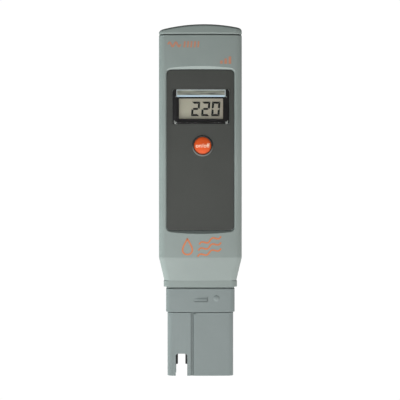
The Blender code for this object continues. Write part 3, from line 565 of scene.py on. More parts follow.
segment_ink = moulded("segment_ink", (0.007, 0.007, 0.008), 0.60, depth=0.000002, sheen=0.1)
graphite = moulded("graphite", (0.018, 0.018, 0.019), 0.52, grain=0.00016, mottle=0.10)
resin = moulded("resin", (0.050, 0.050, 0.055), 0.34, grain=0.0008, depth=0.00004)
ceramic = moulded("ceramic", (0.78, 0.75, 0.68), 0.85, grain=0.0002, depth=0.00003)
blue_plastic = moulded("blue_plastic", (0.03, 0.10, 0.36), 0.38)
# pale grey of the painted corner glints behind the window
glint_paint = moulded("glint_paint", (0.34, 0.35, 0.33), 0.45)
white_plastic = moulded("white_plastic", (0.72, 0.70, 0.64), 0.42)
red_lead = moulded("red_lead", (0.46, 0.025, 0.018), **LEAD)
black_lead = moulded("black_lead", (0.020, 0.020, 0.020), **LEAD)
probe_seal = moulded("probe_seal", (0.215, 0.248, 0.238), 0.70, mottle=0.08)
rim_finish = metal("rim_finish", (0.13, 0.13, 0.122), 0.34)
steel = metal("steel", (0.60, 0.60, 0.58), 0.26)
brass = metal("brass", (0.74, 0.52, 0.22), 0.28)
silver = metal("silver", (0.82, 0.82, 0.80), 0.22)
window_clear = glass("window_clear", (0.97, 0.98, 0.98), 0.025)
electrode_clear = glass("electrode_clear", (0.93, 0.96, 0.95), 0.02, 1.47)


# ---------------------------------------------------------------- housing


def body_section(half_width, shrink, corner=BODY_CORNER):
    return outline(half_width, BODY_FRONT + shrink, BODY_REAR - shrink, corner, FRONT_BULGE)


def side_profile():
    """(z, half width, how far front and rear move in) up the housing, its edges rounded."""
    inward = 0.001
    path = [
        (LIP_BOTTOM, LIP_HALF_WIDTH - inward, LIP_SHRINK + inward),
        (LIP_BOTTOM, LIP_HALF_WIDTH, LIP_SHRINK),
        (LIP_TOP, LIP_HALF_WIDTH, LIP_SHRINK),
        (LIP_TOP + GAP, FOOT_HALF_WIDTH, FOOT_SHRINK),
        (TAPER_TOP, BODY_HALF_WIDTH, 0),
        (SHELL_TOP, BODY_HALF_WIDTH, 0),
        (SHELL_TOP, BODY_HALF_WIDTH - inward, inward),
    ]
    return rounded(path, (0.0003, 0.00015, 0.0001, 0.0005, 0.0006))


def housing_outside():
    return loft([level(z, body_section(width, shrink)) for z, width, shrink in side_profile()])


def housing_inside():
    front, rear = BODY_FRONT + MOUTH_SHRINK, BODY_REAR - MOUTH_SHRINK
    mouth = outline(MOUTH_HALF_WIDTH, front, rear, 0.002)
    inner = outline(
        BODY_HALF_WIDTH - WALL,
        BODY_FRONT + FRONT_WALL,
        BODY_REAR - WALL,
        BODY_CORNER - WALL / 2,
        FRONT_BULGE,
    )
    heights = [(LIP_BOTTOM - OVERSHOOT, mouth), (LIP_TOP, mouth)]
    heights += [(TAPER_TOP, inner), (SHELL_TOP - TOP_WALL, inner)]
    return loft([level(z, section) for z, section in heights])


def parting_groove():
    """A V along each side, where the two shells meet."""
    deep = 0.00028
    grooves = []
    for side in (-1, 1):
        rings = []
        heights = [(LIP_BOTTOM - OVERSHOOT, LIP_HALF_WIDTH), (LIP_TOP, LIP_HALF_WIDTH)]
        heights += [(LIP_TOP + GAP, FOOT_HALF_WIDTH), (TAPER_TOP, BODY_HALF_WIDTH)]
        heights += [(SHELL_TOP + OVERSHOOT, BODY_HALF_WIDTH)]
        for z, width in heights:
            x = side * width
            outside = x + side * deep
            ring = [(outside, PART_LINE_Y - 2 * deep, z), (outside, PART_LINE_Y + 2 * deep, z)]
            rings.append(ring + [(x - side * deep, PART_LINE_Y, z)])
        grooves.append(loft(rings))
    return group(*grooves)


def panel_section(margin):
    corner = PANEL_CORNER + max(margin, 0)
    bottom, top = PANEL_BOTTOM - margin, PANEL_TOP + margin
    return outline(PANEL_HALF_WIDTH + margin, bottom, top, corner, PANEL_BOW, PANEL_BOW)


def panel_recess():
    """The sunk field for the panel, with a sloping edge."""
    margin = 0.00015
    rise = 0.0025
    rings = [(RECESS_FLOOR, margin), (PANEL_FRONT, margin)]
    rings.append((PANEL_FRONT - rise, margin + rise * RECESS_SLOPE))
    return loft([depth_plane(y, panel_section(widening)) for y, widening in rings])


def screws(prefix):
    """The CAD's screws whose names begin so, in order."""
    return [name for name in sorted(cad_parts) if name.startswith(prefix)]


SIDE_NAMES = ("left", "right")
PARTING_PLAY = 0.00002  # half of the air between the two shells, at the bottom of the V
BUTTON_PLAY = 0.0004
CASE_POST_RADIUS = 0.0020
BOARD_POST_RADIUS = 0.0018
REAR_POST_RADIUS = 0.0026
CASE_HOLE_RADIUS = 0.0012
BOARD_HOLE_RADIUS = 0.0010
HEAD_HOLE_RADIUS = 0.0020
HEAD_HOLE_DEPTH = 0.0016
DRIVER_HOLE_RADIUS = 0.0017
DRIVER_GUIDE_Y = 0.0050  # where the guide tubes over the trimmers begin
RAIL_INNER, RAIL_OUTER = 0.0006, 0.0016  # how far beside the tray its rails lie
EVERYWHERE_X, EVERYWHERE_Z = (-0.03, 0.03), (0.0, 0.2)
AHEAD, BEHIND = -0.02, 0.02  # planes well before and behind the meter


def make_shell(node, depths, posts, holes, *more_steps):
    """The half of the housing between two depths, with the posts and holes inside it."""
    shell = carve(
        node + "_moulding",
        housing_outside(),
        (CUT, parting_groove()),
        (CUT, housing_inside()),
        (ADD, group(*posts)),
        (KEEP, block(EVERYWHERE_X, depths, EVERYWHERE_Z)),
        (CUT, group(*holes)),
        *more_steps,
    )
    dress(shell, housing_plastic, stands_for=[node], smooth_below=28)


def make_front_shell():
    parting = PART_LINE_Y - PARTING_PLAY
    wall = BODY_FRONT + FRONT_WALL - 0.0003
    seat = low("circuit_board").y - GAP
    case = ("case_screw", parting, CASE_POST_RADIUS, 0.001, CASE_HOLE_RADIUS, 0.0060)
    board = ("board_screw", seat, BOARD_POST_RADIUS, 0, BOARD_HOLE_RADIUS, 0.0042)
    posts, holes = [], []
    for prefix, y, post_radius, post_top, hole_radius, hole_depth in (case, board):
        for name in screws(prefix):
            base = (middle(name).x, y, middle(name).z)
            post = rod(post_radius, wall - y, post_top, POST_SIDES)
            posts.append(moved(post, base, FACE_REAR))
            hole = rod(hole_radius, -hole_depth, OVERSHOOT, POST_SIDES)
            holes.append(moved(hole, base, FACE_REAR))
    bore = rod(BUTTON_RADIUS + BUTTON_PLAY, -0.006, 0.006)
    holes.append(moved(bore, (BUTTON.x, BODY_FRONT, BUTTON.z), FACE_FRONT))
    bezel_low, bezel_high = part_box("display_bezel")
    edges = (half_span("display_bezel") + GAP, bezel_low.z - GAP, bezel_high.z + GAP)
    holes.append(display_prism(*edges, 0.0006, -0.013, -0.0065))
    make_shell("front_shell", (AHEAD, parting), posts, holes, (CUT, panel_recess()))


def make_rear_shell():
    parting = PART_LINE_Y + PARTING_PLAY
    wall = BODY_REAR - WALL + 0.0005
    posts, holes = [], []
    for name in screws("case_screw"):
        base = (middle(name).x, parting, middle(name).z)
        post = rod(REAR_POST_RADIUS, -0.001, wall - parting, POST_SIDES)
        posts.append(moved(post, base, FACE_REAR))
        mouth = BODY_REAR - parting
        seat = mouth - HEAD_HOLE_DEPTH
        sunk = [(0, -0.002), (CASE_HOLE_RADIUS, -0.002), (CASE_HOLE_RADIUS, seat)]
        sunk += [(HEAD_HOLE_RADIUS, seat), (HEAD_HOLE_RADIUS, mouth - 0.00025)]
        sunk += [(HEAD_HOLE_RADIUS + 0.0006, mouth + 0.00035), (0, mouth + 0.00035)]
        holes.append(moved(turned(sunk, FEWER_SIDES), base, FACE_REAR))
    for side in SIDE_NAMES:
        at = middle("trimmer_rotor_" + side)
        base = (at.x, DRIVER_GUIDE_Y, at.z)
        post = rod(REAR_POST_RADIUS, 0, wall - DRIVER_GUIDE_Y, FEWER_SIDES)
        posts.append(moved(post, base, FACE_REAR))
        mouth = BODY_REAR - DRIVER_GUIDE_Y
        flared = [(0, -0.001), (DRIVER_HOLE_RADIUS, -0.001), (DRIVER_HOLE_RADIUS, mouth - 0.0003)]
        flared += [(DRIVER_HOLE_RADIUS + 0.0006, mouth + 0.0003), (0, mouth + 0.0003)]
        holes.append(moved(turned(flared, FEWER_SIDES), base, FACE_REAR))
    for side in (-1, 1):
        x = sorted(side * (TRAY_HALF_WIDTH + gap) for gap in (RAIL_INNER, RAIL_OUTER))
        posts.append(block(x, (TRAY_FRONT, wall), (low("battery_tray").z, SHELL_TOP - 0.001)))
    front, rear = TRAY_FRONT - 0.0004, TRAY_REAR + GAP
    mouth = outline(TRAY_HALF_WIDTH + 0.0005, front, rear, 0.0004)
    holes.append(prism_z(mouth, SHELL_TOP - TOP_WALL - OVERSHOOT, SHELL_TOP + OVERSHOOT))
    make_shell("rear_shell", (parting, BEHIND), posts, holes)


def driver_cross(half_length, half_width, deep):
    """Two crossed wedges, for the recess in a screw head whose top is at z = 0."""
    arms = []
    for long_x in (True, False):
        rings = []
        for z, share in ((-deep, 0.45), (0.0004, 1.05)):
            half = (half_length * share, half_width)
            across, along = half if long_x else half[::-1]
            rings.append([(x * across, y * along, z) for x, y in SQUARE])
        arms.append(loft(rings))
    return arms


def make_screws(prefix, head_radius, head_height, shank_radius, cross):
    """Pan-head screws in place of the CAD's; the CAD box gives each one's place and length."""
    turns = 14  # of the thread, as grooves with a sloping side
    groove_radius = shank_radius * 0.78
    shank_top = -head_height
    for name in screws(prefix):
        tip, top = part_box(name)
        length = top.y - tip.y
        start = -length * 0.9  # where the point ends and the thread begins
        profile = [(0, -length), (shank_radius * 0.5, -length), (shank_radius, start)]
        step = (shank_top - start) / turns
        for i in range(turns):
            z = start + (shank_top - 0.0003 - start) * (i + 0.5) / turns
            profile += [(groove_radius, z - step * 0.3), (shank_radius, z)]
        profile.append((shank_radius * 0.8, shank_top))
        head = [(head_radius * 0.9, shank_top), (head_radius, shank_top)]
        head += [(head_radius * 0.97, 0), (0, 0)]
        profile += rounded(head, (head_height * 0.2, head_height * 0.55))
        at = ((tip.x + top.x) / 2, top.y, (tip.z + top.z) / 2)
        body = moved(turned(profile, 40), at, FACE_REAR)
        cuts = [(CUT, moved(arm, at, FACE_REAR)) for arm in driver_cross(*cross)]
        screw = carve(name + "_threaded", body, *cuts)
        dress(screw, steel, stands_for=[name])


# ---------------------------------------------------------------- battery cap


def arch(x):
    return CAP_TOP - CAP_ARCH * ((x - CAP_CROWN_X) / BODY_HALF_WIDTH) ** 2


def cap_section(inset):
    return body_section(BODY_HALF_WIDTH - inset, inset, BODY_CORNER - inset)


def cap_body():
    """Straight sides over a rounded foot, a rounded upper edge, and a top arched along X."""
    rings = []
    foot_inset, foot_height, foot_steps = 0.00045, 0.0009, 5
    for step in range(foot_steps + 1):
        angle = math.pi / 2 * step / foot_steps
        inset = foot_inset * (1 - math.sin(angle))
        ring = []
        for x, y in cap_section(inset):
            tall = min(foot_height, 0.9 * (arch(x) - CAP_ROUND - CAP_FOOT))
            ring.append((x, y, CAP_FOOT + tall * (1 - math.cos(angle))))
        rings.append(ring)
    edge_steps = 8
    for step in range(edge_steps + 1):
        angle = math.pi / 2 * step / edge_steps
        inset = CAP_ROUND * (1 - math.cos(angle))
        rise = CAP_ROUND * (math.sin(angle) - 1)
        rings.append([(x, y, arch(x) + rise) for x, y in cap_section(inset)])
    edge = rings[-1]
    for share in (0.9, 0.75, 0.6, 0.45, 0.3, 0.15, 0.05):
        ring = [(x * share, BODY_MIDDLE_Y + (y - BODY_MIDDLE_Y) * share) for x, y, _ in edge]
        rings.append([(x, y, arch(x)) for x, y in ring])
    return loft(rings)


def make_battery_cap():
    half = TRAY_HALF_WIDTH
    front, rear = TRAY_FRONT + 0.0001, TRAY_REAR - 0.0002
    plug = block((-half, half), (front, rear), (low("battery_cap").z, SHELL_TOP + 0.001))
    seal_low, seal_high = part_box("cap_gasket")
    play, deep = 0.00015, 0.0008  # the groove's play above and below the seal, and its depth
    z = (seal_low.z - play, seal_high.z + play)
    around = block((-half - 0.001, half + 0.001), (0.0, 0.0105), z)
    core = block((-half + deep, half - deep), (front + deep, rear - deep), (0.165, 0.171))
    groove = carve("groove", around, (CUT, core))
    ring = bmesh.new()
    ring.from_mesh(groove.data)
    bpy.data.objects.remove(groove)
    slot = block((-0.0083, 0.0083), (0.0042, 0.0068), (TRAY_TOP - 0.001, TRAY_TOP + 0.0026))
    cap = carve("battery_cap_moulding", cap_body(), (ADD, plug), (CUT, ring), (CUT, slot))
    dress(cap, cap_plastic, "battery_drawer", ["battery_cap"], 28)


# ---------------------------------------------------------------- panel, display and button


def make_panel():
    """The dark sheet with rounded edges and two openings, and the satin rim round the button."""
    edge = 0.00015
    rings = [(PANEL_BACK, -edge), (PANEL_FRONT + edge, -edge)]
    rings += [(PANEL_FRONT + edge * 0.3, -edge * 1.3)]
    rings += [(PANEL_FRONT, -edge * 2), (PANEL_FRONT, -edge * 5)]
    sheet = loft([depth_plane(y, panel_section(margin)) for y, margin in rings])
    centre = (BUTTON.x, PANEL_FRONT, BUTTON.z)
    height = PANEL_FRONT - low("front_panel").y
    bore = BUTTON_RADIUS + 0.00025
    outer = 0.00525
    path = [(bore, -0.0002), (outer, -0.0002), (outer, 0.00003), (outer - 0.0006, height)]
    path += [(bore + 0.00005, height), (bore, height - 0.00005)]
    rim = moved(ring_of(path), centre, FACE_FRONT)
    dress(new_object("button_rim", rim), rim_finish)
    play = 0.00005
    edges = (half_span("display_window") + play, WINDOW_LOW.z - play, WINDOW_HIGH.z + play)
    window_hole = display_prism(*edges, 0.0007, -0.013, -0.006)
    button_hole = moved(rod(outer - 0.0001, -0.002, 0.002), centre, FACE_FRONT)
    panel = carve("panel_sheet", sheet, (CUT, group(window_hole, button_hole)))
    dress(panel, panel_plastic, stands_for=["front_panel"])


SIDE_BEVEL = 0.0018
BOTTOM_BEVEL = 0.0005
TOP_BEVEL = 0.0040
BEVEL_DEPTH = 0.0014


def window_section(share):
    """The window's outline, from its base at share 0 to its flat face at share 1."""
    half = half_span("display_window")
    bottom = WINDOW_LOW.z + BOTTOM_BEVEL * share
    top = WINDOW_HIGH.z - TOP_BEVEL * share
    return outline(half - SIDE_BEVEL * share, bottom, top, 0.0007 - 0.0003 * share)


def make_window():
    """The clear block: a wide bevel above, narrow ones elsewhere, all edges softened."""
    back, face = WINDOW_HIGH.y, WINDOW_LOW.y
    rings = [(back, 0.0), (face + BEVEL_DEPTH + 0.00012, 0.0), (face + BEVEL_DEPTH * 0.95, 0.03)]
    soft = 0.20  # share of the bevel that the curve into the flat face takes
    start = Vector((face + BEVEL_DEPTH * soft, 1 - soft))
    corner = Vector((face, 1.0))
    end = Vector((face, 1 + soft * 0.8))
    steps = 8
    for i in range(steps + 1):
        t = i / steps
        rings.append(start.lerp(corner, t).lerp(corner.lerp(end, t), t))
    rings.append((face, 1.5))
    lens = loft([depth_plane(y, window_section(share), DISPLAY_X) for y, share in rings])
    window = new_object("window_lens", lens)
    window.visible_shadow = False
    dress(window, window_clear, stands_for=["display_window"])


def make_display():
    """The black box with its aperture, and the reflector and lit segments inside it."""
    bezel_low, bezel_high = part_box("display_bezel")
    glass_low, glass_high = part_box("lcd_glass")
    box = (half_span("display_bezel"), bezel_low.z, bezel_high.z)
    aperture = (APERTURE_HALF_WIDTH, APERTURE_BOTTOM, APERTURE_TOP)
    pocket = (0.0119 + GAP, glass_low.z - GAP, glass_high.z + GAP)
    bezel = carve(
        "display_box",
        display_prism(*box, 0.0004, bezel_low.y, bezel_high.y),
        (CUT, display_prism(*aperture, 0.0003, bezel_low.y - 0.002, bezel_low.y + 0.002)),
        (CUT, display_prism(*pocket, 0.0003, glass_low.y - GAP, bezel_high.y + 0.002)),
    )
    dress(bezel, black_plastic, stands_for=["display_bezel"])
    make_window_print()
    glass = (half_span("lcd_glass"), glass_low.z, glass_high.z)
    cell = new_object("lcd_cell", display_prism(*glass, 0.0002, glass_low.y, glass_high.y))
    dress(cell, lcd_material(), stands_for=["lcd_glass"])
    make_digits(glass_low.y)


def make_window_print():
    """Behind the clear window: black print round the aperture, two pale triangles that are painted
    glints at its lower corners, and a strip with a painted reflection for the upper bevel.
    """
    back = WINDOW_HIGH.y
    half = half_span("display_window") - 0.00045
    edges = (half, WINDOW_LOW.z + 0.00015, WINDOW_HIGH.z - 0.00015)
    slack = 0.00005  # the print's opening is that much wider and lower than the aperture
    hole = (APERTURE_HALF_WIDTH + slack, APERTURE_BOTTOM - slack, APERTURE_TOP - slack)
    ink = carve(
        "window_print",
        display_prism(*edges, 0.0006, back - 0.00004, back + 0.00008),
        (CUT, display_prism(*hole, 0.0003, back - 0.001, back + 0.001)),
    )
    dress(ink, mask_ink)
    # Painted highlights: two pale triangles behind the lower corners stand for the bevels' glints.
    reach, leg, glint_z = 0.0129, 0.0011, WINDOW_LOW.z + 0.0009
    glints = []
    for side in (-1, 1):
        tip = DISPLAY_X + side * reach
        corner = [(tip, glint_z), (tip - side * leg, glint_z), (tip, glint_z + leg)]
        glints.append(prism_y(corner, back - 0.0001, back - 0.00006))
    dress(new_object("painted_corner_glints", group(*glints)), glint_paint)
    # A strip behind the upper bevel, painted with its reflection and highlights.
    reflection_band = (0.0122, WINDOW_HIGH.z - TOP_BEVEL + 0.0001, WINDOW_HIGH.z - 0.0003)
    strip = display_prism(*reflection_band, 0.0002, back - 0.00010, back - 0.00006)
    dress(new_object("painted_reflection_strip", strip), bevel_reflection_paint(*reflection_band))


DIGIT_HEIGHT = 0.0072
DIGIT_WIDTH = 0.0041
DIGIT_PITCH = 0.0050
DIGIT_STROKE = 0.00104
DIGIT_SLANT = math.tan(math.radians(4))
DIGIT_RIGHT = 0.00945  # right edge of the last digit
DIGIT_BOTTOM = 0.1290
SEGMENTS = {"0": "abcdef", "2": "abged"}


def segment(kind):
    """A segment's corners in (x, z) from the digit's lower left, with mitred ends."""
    w, h, s = DIGIT_WIDTH, DIGIT_HEIGHT, DIGIT_STROKE
    nick = 0.00006  # half of the gap between two segments
    if kind in "ad":
        outer, inner = (h, h - s) if kind == "a" else (0, s)
        return [(nick, outer), (w - nick, outer), (w - s - nick, inner), (s + nick, inner)]
    m, half = h / 2, s / 2
    if kind == "g":
        left, right = half + nick, w - half - nick
        upper = [(left + half, m + half), (right - half, m + half)]
        lower = [(right - half, m - half), (left + half, m - half)]
        return [(left, m), *upper, (right, m), *lower]
    outer, inner = (w, w - s) if kind in "bc" else (0, s)
    if kind in "bf":
        return [(outer, h - nick), (inner, h - s - nick), (inner, m + half + nick), (outer, m + nick)]
    return [(outer, nick), (inner, s + nick), (inner, m - half - nick), (outer, m - nick)]


def make_digits(glass_front):
    """The reading, 220, as seven-segment digits just in front of the reflector."""
    for place, digit in enumerate(reversed("220")):
        left = DIGIT_RIGHT - DIGIT_WIDTH - place * DIGIT_PITCH
        bars = []
        for kind in SEGMENTS[digit]:
            section = [(left + x + z * DIGIT_SLANT, DIGIT_BOTTOM + z) for x, z in segment(kind)]
            bars.append(prism_y(section, glass_front - 0.00006, glass_front - 0.00001))
        dress(new_object(f"lcd_digit_{place + 1}", group(*bars)), segment_ink)


DOME_DROP = 0.00063  # from the button's middle to its rim
DOME_POWER = 2.6  # above 2, it is flatter in the middle than a ball


def dome(radius):
    """How far the button's top has fallen away from its middle at that radius."""
    return DOME_DROP * (radius / BUTTON_RADIUS) ** DOME_POWER


def make_button():
    base = high("power_button").y
    flange = 0.0008
    height = base - BUTTON_TOP
    flange_radius = high("power_button").x - BUTTON.x
    path = [(0, 0), (flange_radius, 0), (flange_radius, flange), (BUTTON_RADIUS, flange)]
    shoulder = height - dome(BUTTON_RADIUS)
    profile = rounded(path + [(BUTTON_RADIUS, shoulder)], (0.0001, 0.0001, 0.0001), 2)
    steps = 16
    for i in range(1, steps + 1):
        radius = BUTTON_RADIUS * (1 - i / steps) ** 0.7
        profile.append((radius, height - dome(radius)))
    cap = moved(turned(profile), (BUTTON.x, base, BUTTON.z), FACE_FRONT)
    dress(new_object("button_cap", cap), button_rubber, "button", ["power_button"])

    curve = bpy.data.curves.new("caption", "FONT")
    curve.body = "on/off"
    curve.size = 0.0029
    curve.align_x = "CENTER"
    curve.align_y = "CENTER"
    curve.offset = -0.00001
    curve.extrude = 0.00002
    text = add_object("button_caption", curve)
    mesh = final_mesh(text)
    bpy.data.objects.remove(text)
    caption = add_object("button_caption", mesh)
    for vertex in mesh.vertices:
        x, z, out = vertex.co
        y = BUTTON_TOP + dome(math.hypot(x, z)) - out - 0.00001
        vertex.co = (BUTTON.x + x, max(y, low("display_window").y), BUTTON.z + z)
    mesh.update()
    dress(caption, caption_ink, "button")


# ---------------------------------------------------------------- printed marks


def front_surface(x):
    bow = (BODY_HALF_WIDTH**2 + FRONT_BULGE**2) / (2 * FRONT_BULGE)
    return BODY_FRONT + bow - math.sqrt(bow**2 - x**2)


def ribbon(points, width, closed=False):
    """A flat printed line through (x, z) points, which lies on the bowed front."""
    bm = bmesh.new()
    count = len(points)
    rows = []
    for i, point in enumerate(points):
        before = Vector(points[(i - 1) % count if closed else max(i - 1, 0)])
        after = Vector(points[(i + 1) % count if closed else min(i + 1, count - 1)])
        along = (after - before).normalized()
        across = Vector((-along.y, along.x)) * width / 2
        row = []
        for side, out in ((1, -0.00004), (1, 0.00004), (-1, 0.00004), (-1, -0.00004)):
            x, z = Vector(point) + across * side
            row.append(bm.verts.new((x, front_surface(x) + out, z)))
        rows.append(row)
    join_rows(bm, rows, closed)
    if not closed:
        bm.faces.new(rows[0])
        bm.faces.new(rows[-1])
    return bm


def bar(x, z, tall, width, lean=0.0):
    steps = 4
    rises = [tall * i / steps for i in range(steps + 1)]
    return ribbon([(x + lean * rise, z + rise) for rise in rises], width)


def wave(start, end, crests, swing, width):
    """A wavy line between two points."""
    start, end = Vector(start), Vector(end)
    along = end - start
    across = Vector((-along.y, along.x)).normalized()
    steps = 16 * crests
    points = []
    for i in range(steps + 1):
        t = i / steps
        points.append(start + along * t + across * swing * math.sin(2 * math.pi * crests * t))
    return ribbon([tuple(p) for p in points], width)


def droplet(x, z, radius, width):
    """A drop's outline: a round belly that runs up to a point."""
    points = []
    steps = 40
    for i in range(steps):
        turn = 2 * math.pi * i / steps
        rise = 1 - math.cos(turn)
        narrow = math.sin(turn / 2) ** 1.5
        points.append((x + radius * math.sin(turn) * narrow, z + radius * (1.15 * (2 - rise) - 1)))
    return ribbon(points, width, closed=True)


def make_marks():
    """Generic pictograms where the meter's labels are: a scale, a level and a drop with ripples."""
    stroke, thick_stroke = 0.0008, 0.0012
    crests = 2
    scale = [wave((-0.0160, 0.1644), (-0.0098, 0.1644), crests, 0.0011, stroke)]
    scale += [bar(-0.0080 + 0.0017 * i, 0.1629, 0.0030, stroke, 0.12) for i in range(5)]
    dress(new_object("scale_mark", group(*scale)), label_ink)
    rising = [bar(0.0104 + 0.0021 * i, 0.1548, 0.0016 + 0.0010 * i, thick_stroke) for i in range(3)]
    dress(new_object("level_mark", group(*rising)), label_ink)
    drop = [droplet(-0.0064, 0.0639, 0.0034, stroke)]
    for i in range(3):
        z = 0.0595 + 0.0030 * i
        start, end = (-0.0014 + 0.0004 * i, z), (0.0102, z + 0.0040)
        drop.append(wave(start, end, crests, 0.00070, stroke))
    dress(new_object("drop_mark", group(*drop)), print_ink)


# ---------------------------------------------------------------- probe


def probe_section(half_width, shrink, corner=0.0025, bulge=PROBE_BULGE):
    return outline(half_width, BODY_FRONT + shrink, BODY_REAR - shrink, corner, bulge, bulge)


def rounded_ends(half_width, shrink, bottom, top, edge):
    """A straight length of the probe's section with both its ends rounded."""
    path = [
        (bottom, half_width - 0.001, shrink + 0.001),
        (bottom, half_width, shrink),
        (top, half_width, shrink),
        (top, half_width - 0.001, shrink + 0.001),
    ]
    return loft([level(z, probe_section(w, s)) for z, w, s in rounded(path, (edge, edge))])


def make_collar():
    """The collar with its catch, a tongue cut free along two sides, and the round pip."""
    face = BODY_FRONT + COLLAR_SHRINK
    spigot = probe_section(MOUTH_HALF_WIDTH - 0.00035, MOUTH_SHRINK + 0.00035, 0.0018, 0)
    lower = probe_section(0.0144, 0.0055, 0.0015, 0)
    upper = probe_section(0.0135, 0.0064, 0.0015, 0)
    catch_low, catch_high = 0.0372, 0.0398
    rings = []
    for x, share in ((-0.0030, 0.02), (-0.0022, 0.35), (-0.0010, 0.8), (0.0002, 1.0), (0.0032, 1.0)):
        proud = face - 0.00035 * share
        buried = face + 0.0006
        section = [(buried, catch_high), (buried, catch_low), (proud, catch_low), (proud, 0.0377)]
        section += [(face - 0.00020 * share, 0.0386)]
        rings.append([(x, y, z) for y, z in section])
    pip_path = [(0, -0.001), (0.0015, -0.001), (0.0015, 0), (0.0010, 0.00028), (0, 0.00035)]
    pip = turned(rounded(pip_path, (0.0001, 0.00015, 0.0004), 3), 40)
    relief = [(-0.0030, 0.0368), (0.0036, 0.0368), (0.0036, 0.0396)]
    relief += [(0.0032, 0.0396), (0.0032, catch_low), (-0.0030, catch_low)]
    collar = carve(
        "collar_moulding",
        rounded_ends(COLLAR_HALF_WIDTH, COLLAR_SHRINK, COLLAR_BOTTOM, COLLAR_TOP, 0.0003),
        (ADD, prism_z(spigot, COLLAR_TOP - 0.001, SPIGOT_TOP)),
        (CUT, prism_z(lower, COLLAR_BOTTOM - OVERSHOOT, 0.0420)),
        (CUT, prism_z(upper, 0.0415, SPIGOT_TOP + OVERSHOOT)),
        (ADD, group(loft(rings), moved(pip, (0.0080, face + 0.00005, 0.0386), FACE_FRONT))),
        (CUT, prism_y(relief, face - 0.002, face + 0.0006)),
    )
    dress(collar, probe_plastic, stands_for=["probe_collar"], smooth_below=28)


def over(node, bm):
    """Moved sideways to that node's axis."""
    return moved(bm, (middle(node).x, BODY_MIDDLE_Y, 0))


def chamber(low_x, high_x):
    inset = SHROUD_SHRINK + SHROUD_WALL
    section = outline((high_x - low_x) / 2, BODY_FRONT + inset, BODY_REAR - inset, 0.0010)
    return prism_z(section, -OVERSHOOT, CHAMBER_ROOF, (low_x + high_x) / 2)


def make_shroud():
    """The sleeve round the electrodes: two chambers, the slot, and the groove down its front."""
    rim = 0.0003
    above = SHROUD_TOP + OVERSHOOT
    plug = probe_section(0.01405, 0.00585, 0.0013, 0)
    cavity = probe_section(0.0129, 0.0069, 0.0010, 0)
    outer_x = SHROUD_HALF_WIDTH - SHROUD_WALL
    slot = outline(SLOT_HALF_WIDTH, -SLOT_TOP, SLOT_TOP, 0.0012)
    face = BODY_FRONT + SHROUD_SHRINK
    deep = face + 0.0010
    groove = [(-0.0048, face - 0.001), (-0.0032, face - 0.001), (-0.0032, face)]
    groove += [(-0.0036, deep), (-0.0048, deep)]
    holes = []
    for node in ("electrode_stem", "reference_junction", "sensing_pin_left", "sensing_pin_right"):
        radius = half_span(node) + GAP
        hole = rod(radius, CHAMBER_ROOF - OVERSHOOT, CAVITY_FLOOR + OVERSHOOT, FEWER_SIDES)
        holes.append(over(node, hole))
    shroud = carve(
        "shroud_moulding",
        rounded_ends(SHROUD_HALF_WIDTH, SHROUD_SHRINK, 0.0, SHROUD_TOP, rim),
        (ADD, prism_z(plug, SHROUD_TOP - 0.001, 0.0417)),
        (CUT, prism_z(cavity, CAVITY_FLOOR, 0.0430)),
        (CUT, chamber(-outer_x, DIVIDER_LEFT)),
        (CUT, chamber(DIVIDER_RIGHT, outer_x)),
        (CUT, prism_y(slot, -0.012, 0.013, SLOT_X)),
        (CUT, block((-0.0060, -0.0010), (-0.0015, 0.0027), (-OVERSHOOT, 0.0070))),
        (CUT, prism_z(groove, -OVERSHOOT, above)),
        (CUT, block((-0.0047, -0.0020), (face - 0.001, face + 0.0008), (0.0307, above))),
        (CUT, group(*holes)),
    )
    dress(shroud, probe_plastic, stands_for=["probe_shroud"], smooth_below=28)


GLASS_WALL = 0.0005
BULB_ARC = math.pi * 0.78  # from its lowest point to where it meets the stem


def make_electrodes():
    """Finer pins, glass stem and bulb in their CAD places."""
    for side in SIDE_NAMES:
        node = "sensing_pin_" + side
        bottom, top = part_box(node)
        radius = half_span(node)
        path = [(0, bottom.z), (radius, bottom.z), (radius, top.z), (0, top.z)]
        pin = turned(rounded(path, (radius * 0.6, radius * 0.2)), FEWER_SIDES)
        pin = new_object(node + "_rod", over(node, pin))
        dress(pin, graphite, stands_for=[node])
    bottom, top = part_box("electrode_stem")
    radius = half_span("electrode_stem")
    bore = radius - GLASS_WALL
    section = [(bore, bottom.z), (radius, bottom.z), (radius, top.z), (bore, top.z)]
    tube = new_object("electrode_tube", over("electrode_stem", ring_of(section)))
    dress(tube, electrode_clear, stands_for=["electrode_stem"])
    radius = half_span("electrode_bulb")
    height = low("electrode_bulb").z + radius
    outside, inside = [], []
    steps = 24
    for step in range(steps + 1):
        angle = -math.pi / 2 + BULB_ARC * step / steps
        for path, size in ((outside, radius), (inside, radius - GLASS_WALL)):
            path.append((size * math.cos(angle) if step else 0, height + size * math.sin(angle)))
    shape = over("electrode_stem", turned(outside + inside[::-1]))
    bulb = new_object("electrode_membrane", shape)
    dress(bulb, electrode_clear, stands_for=["electrode_bulb"])


# ---------------------------------------------------------------- inside

CARRIED = {
    probe_seal: ["probe_gasket"],
    seal_rubber: ["cap_gasket", "connector_strip_lower", "connector_strip_upper"],
    black_plastic: ["microcontroller", "amplifier_chip"]
    + ["switch_body", "switch_plunger", "battery_tray"],
    steel: ["filter_capacitor"] + [f"button_cell_{i}" for i in (1, 2, 3, 4)],
    brass: ["battery_contact_positive", "battery_contact_negative"]
    + ["cell_link_lower", "cell_link_upper", "trimmer_rotor_left", "trimmer_rotor_right"],
    silver: ["quartz_crystal", "silver_wire", "reference_wire"],
    blue_plastic: ["trimmer_body_left", "trimmer_body_right"],
    white_plastic: ["lead_connector"],
    resin: ["electrode_potting"],
    ceramic: ["reference_junction"],
    red_lead: ["lead_glass", "lead_reference"],
    black_lead: ["lead_left_pin", "lead_right_pin"],
    board_material(): ["circuit_board"],
}


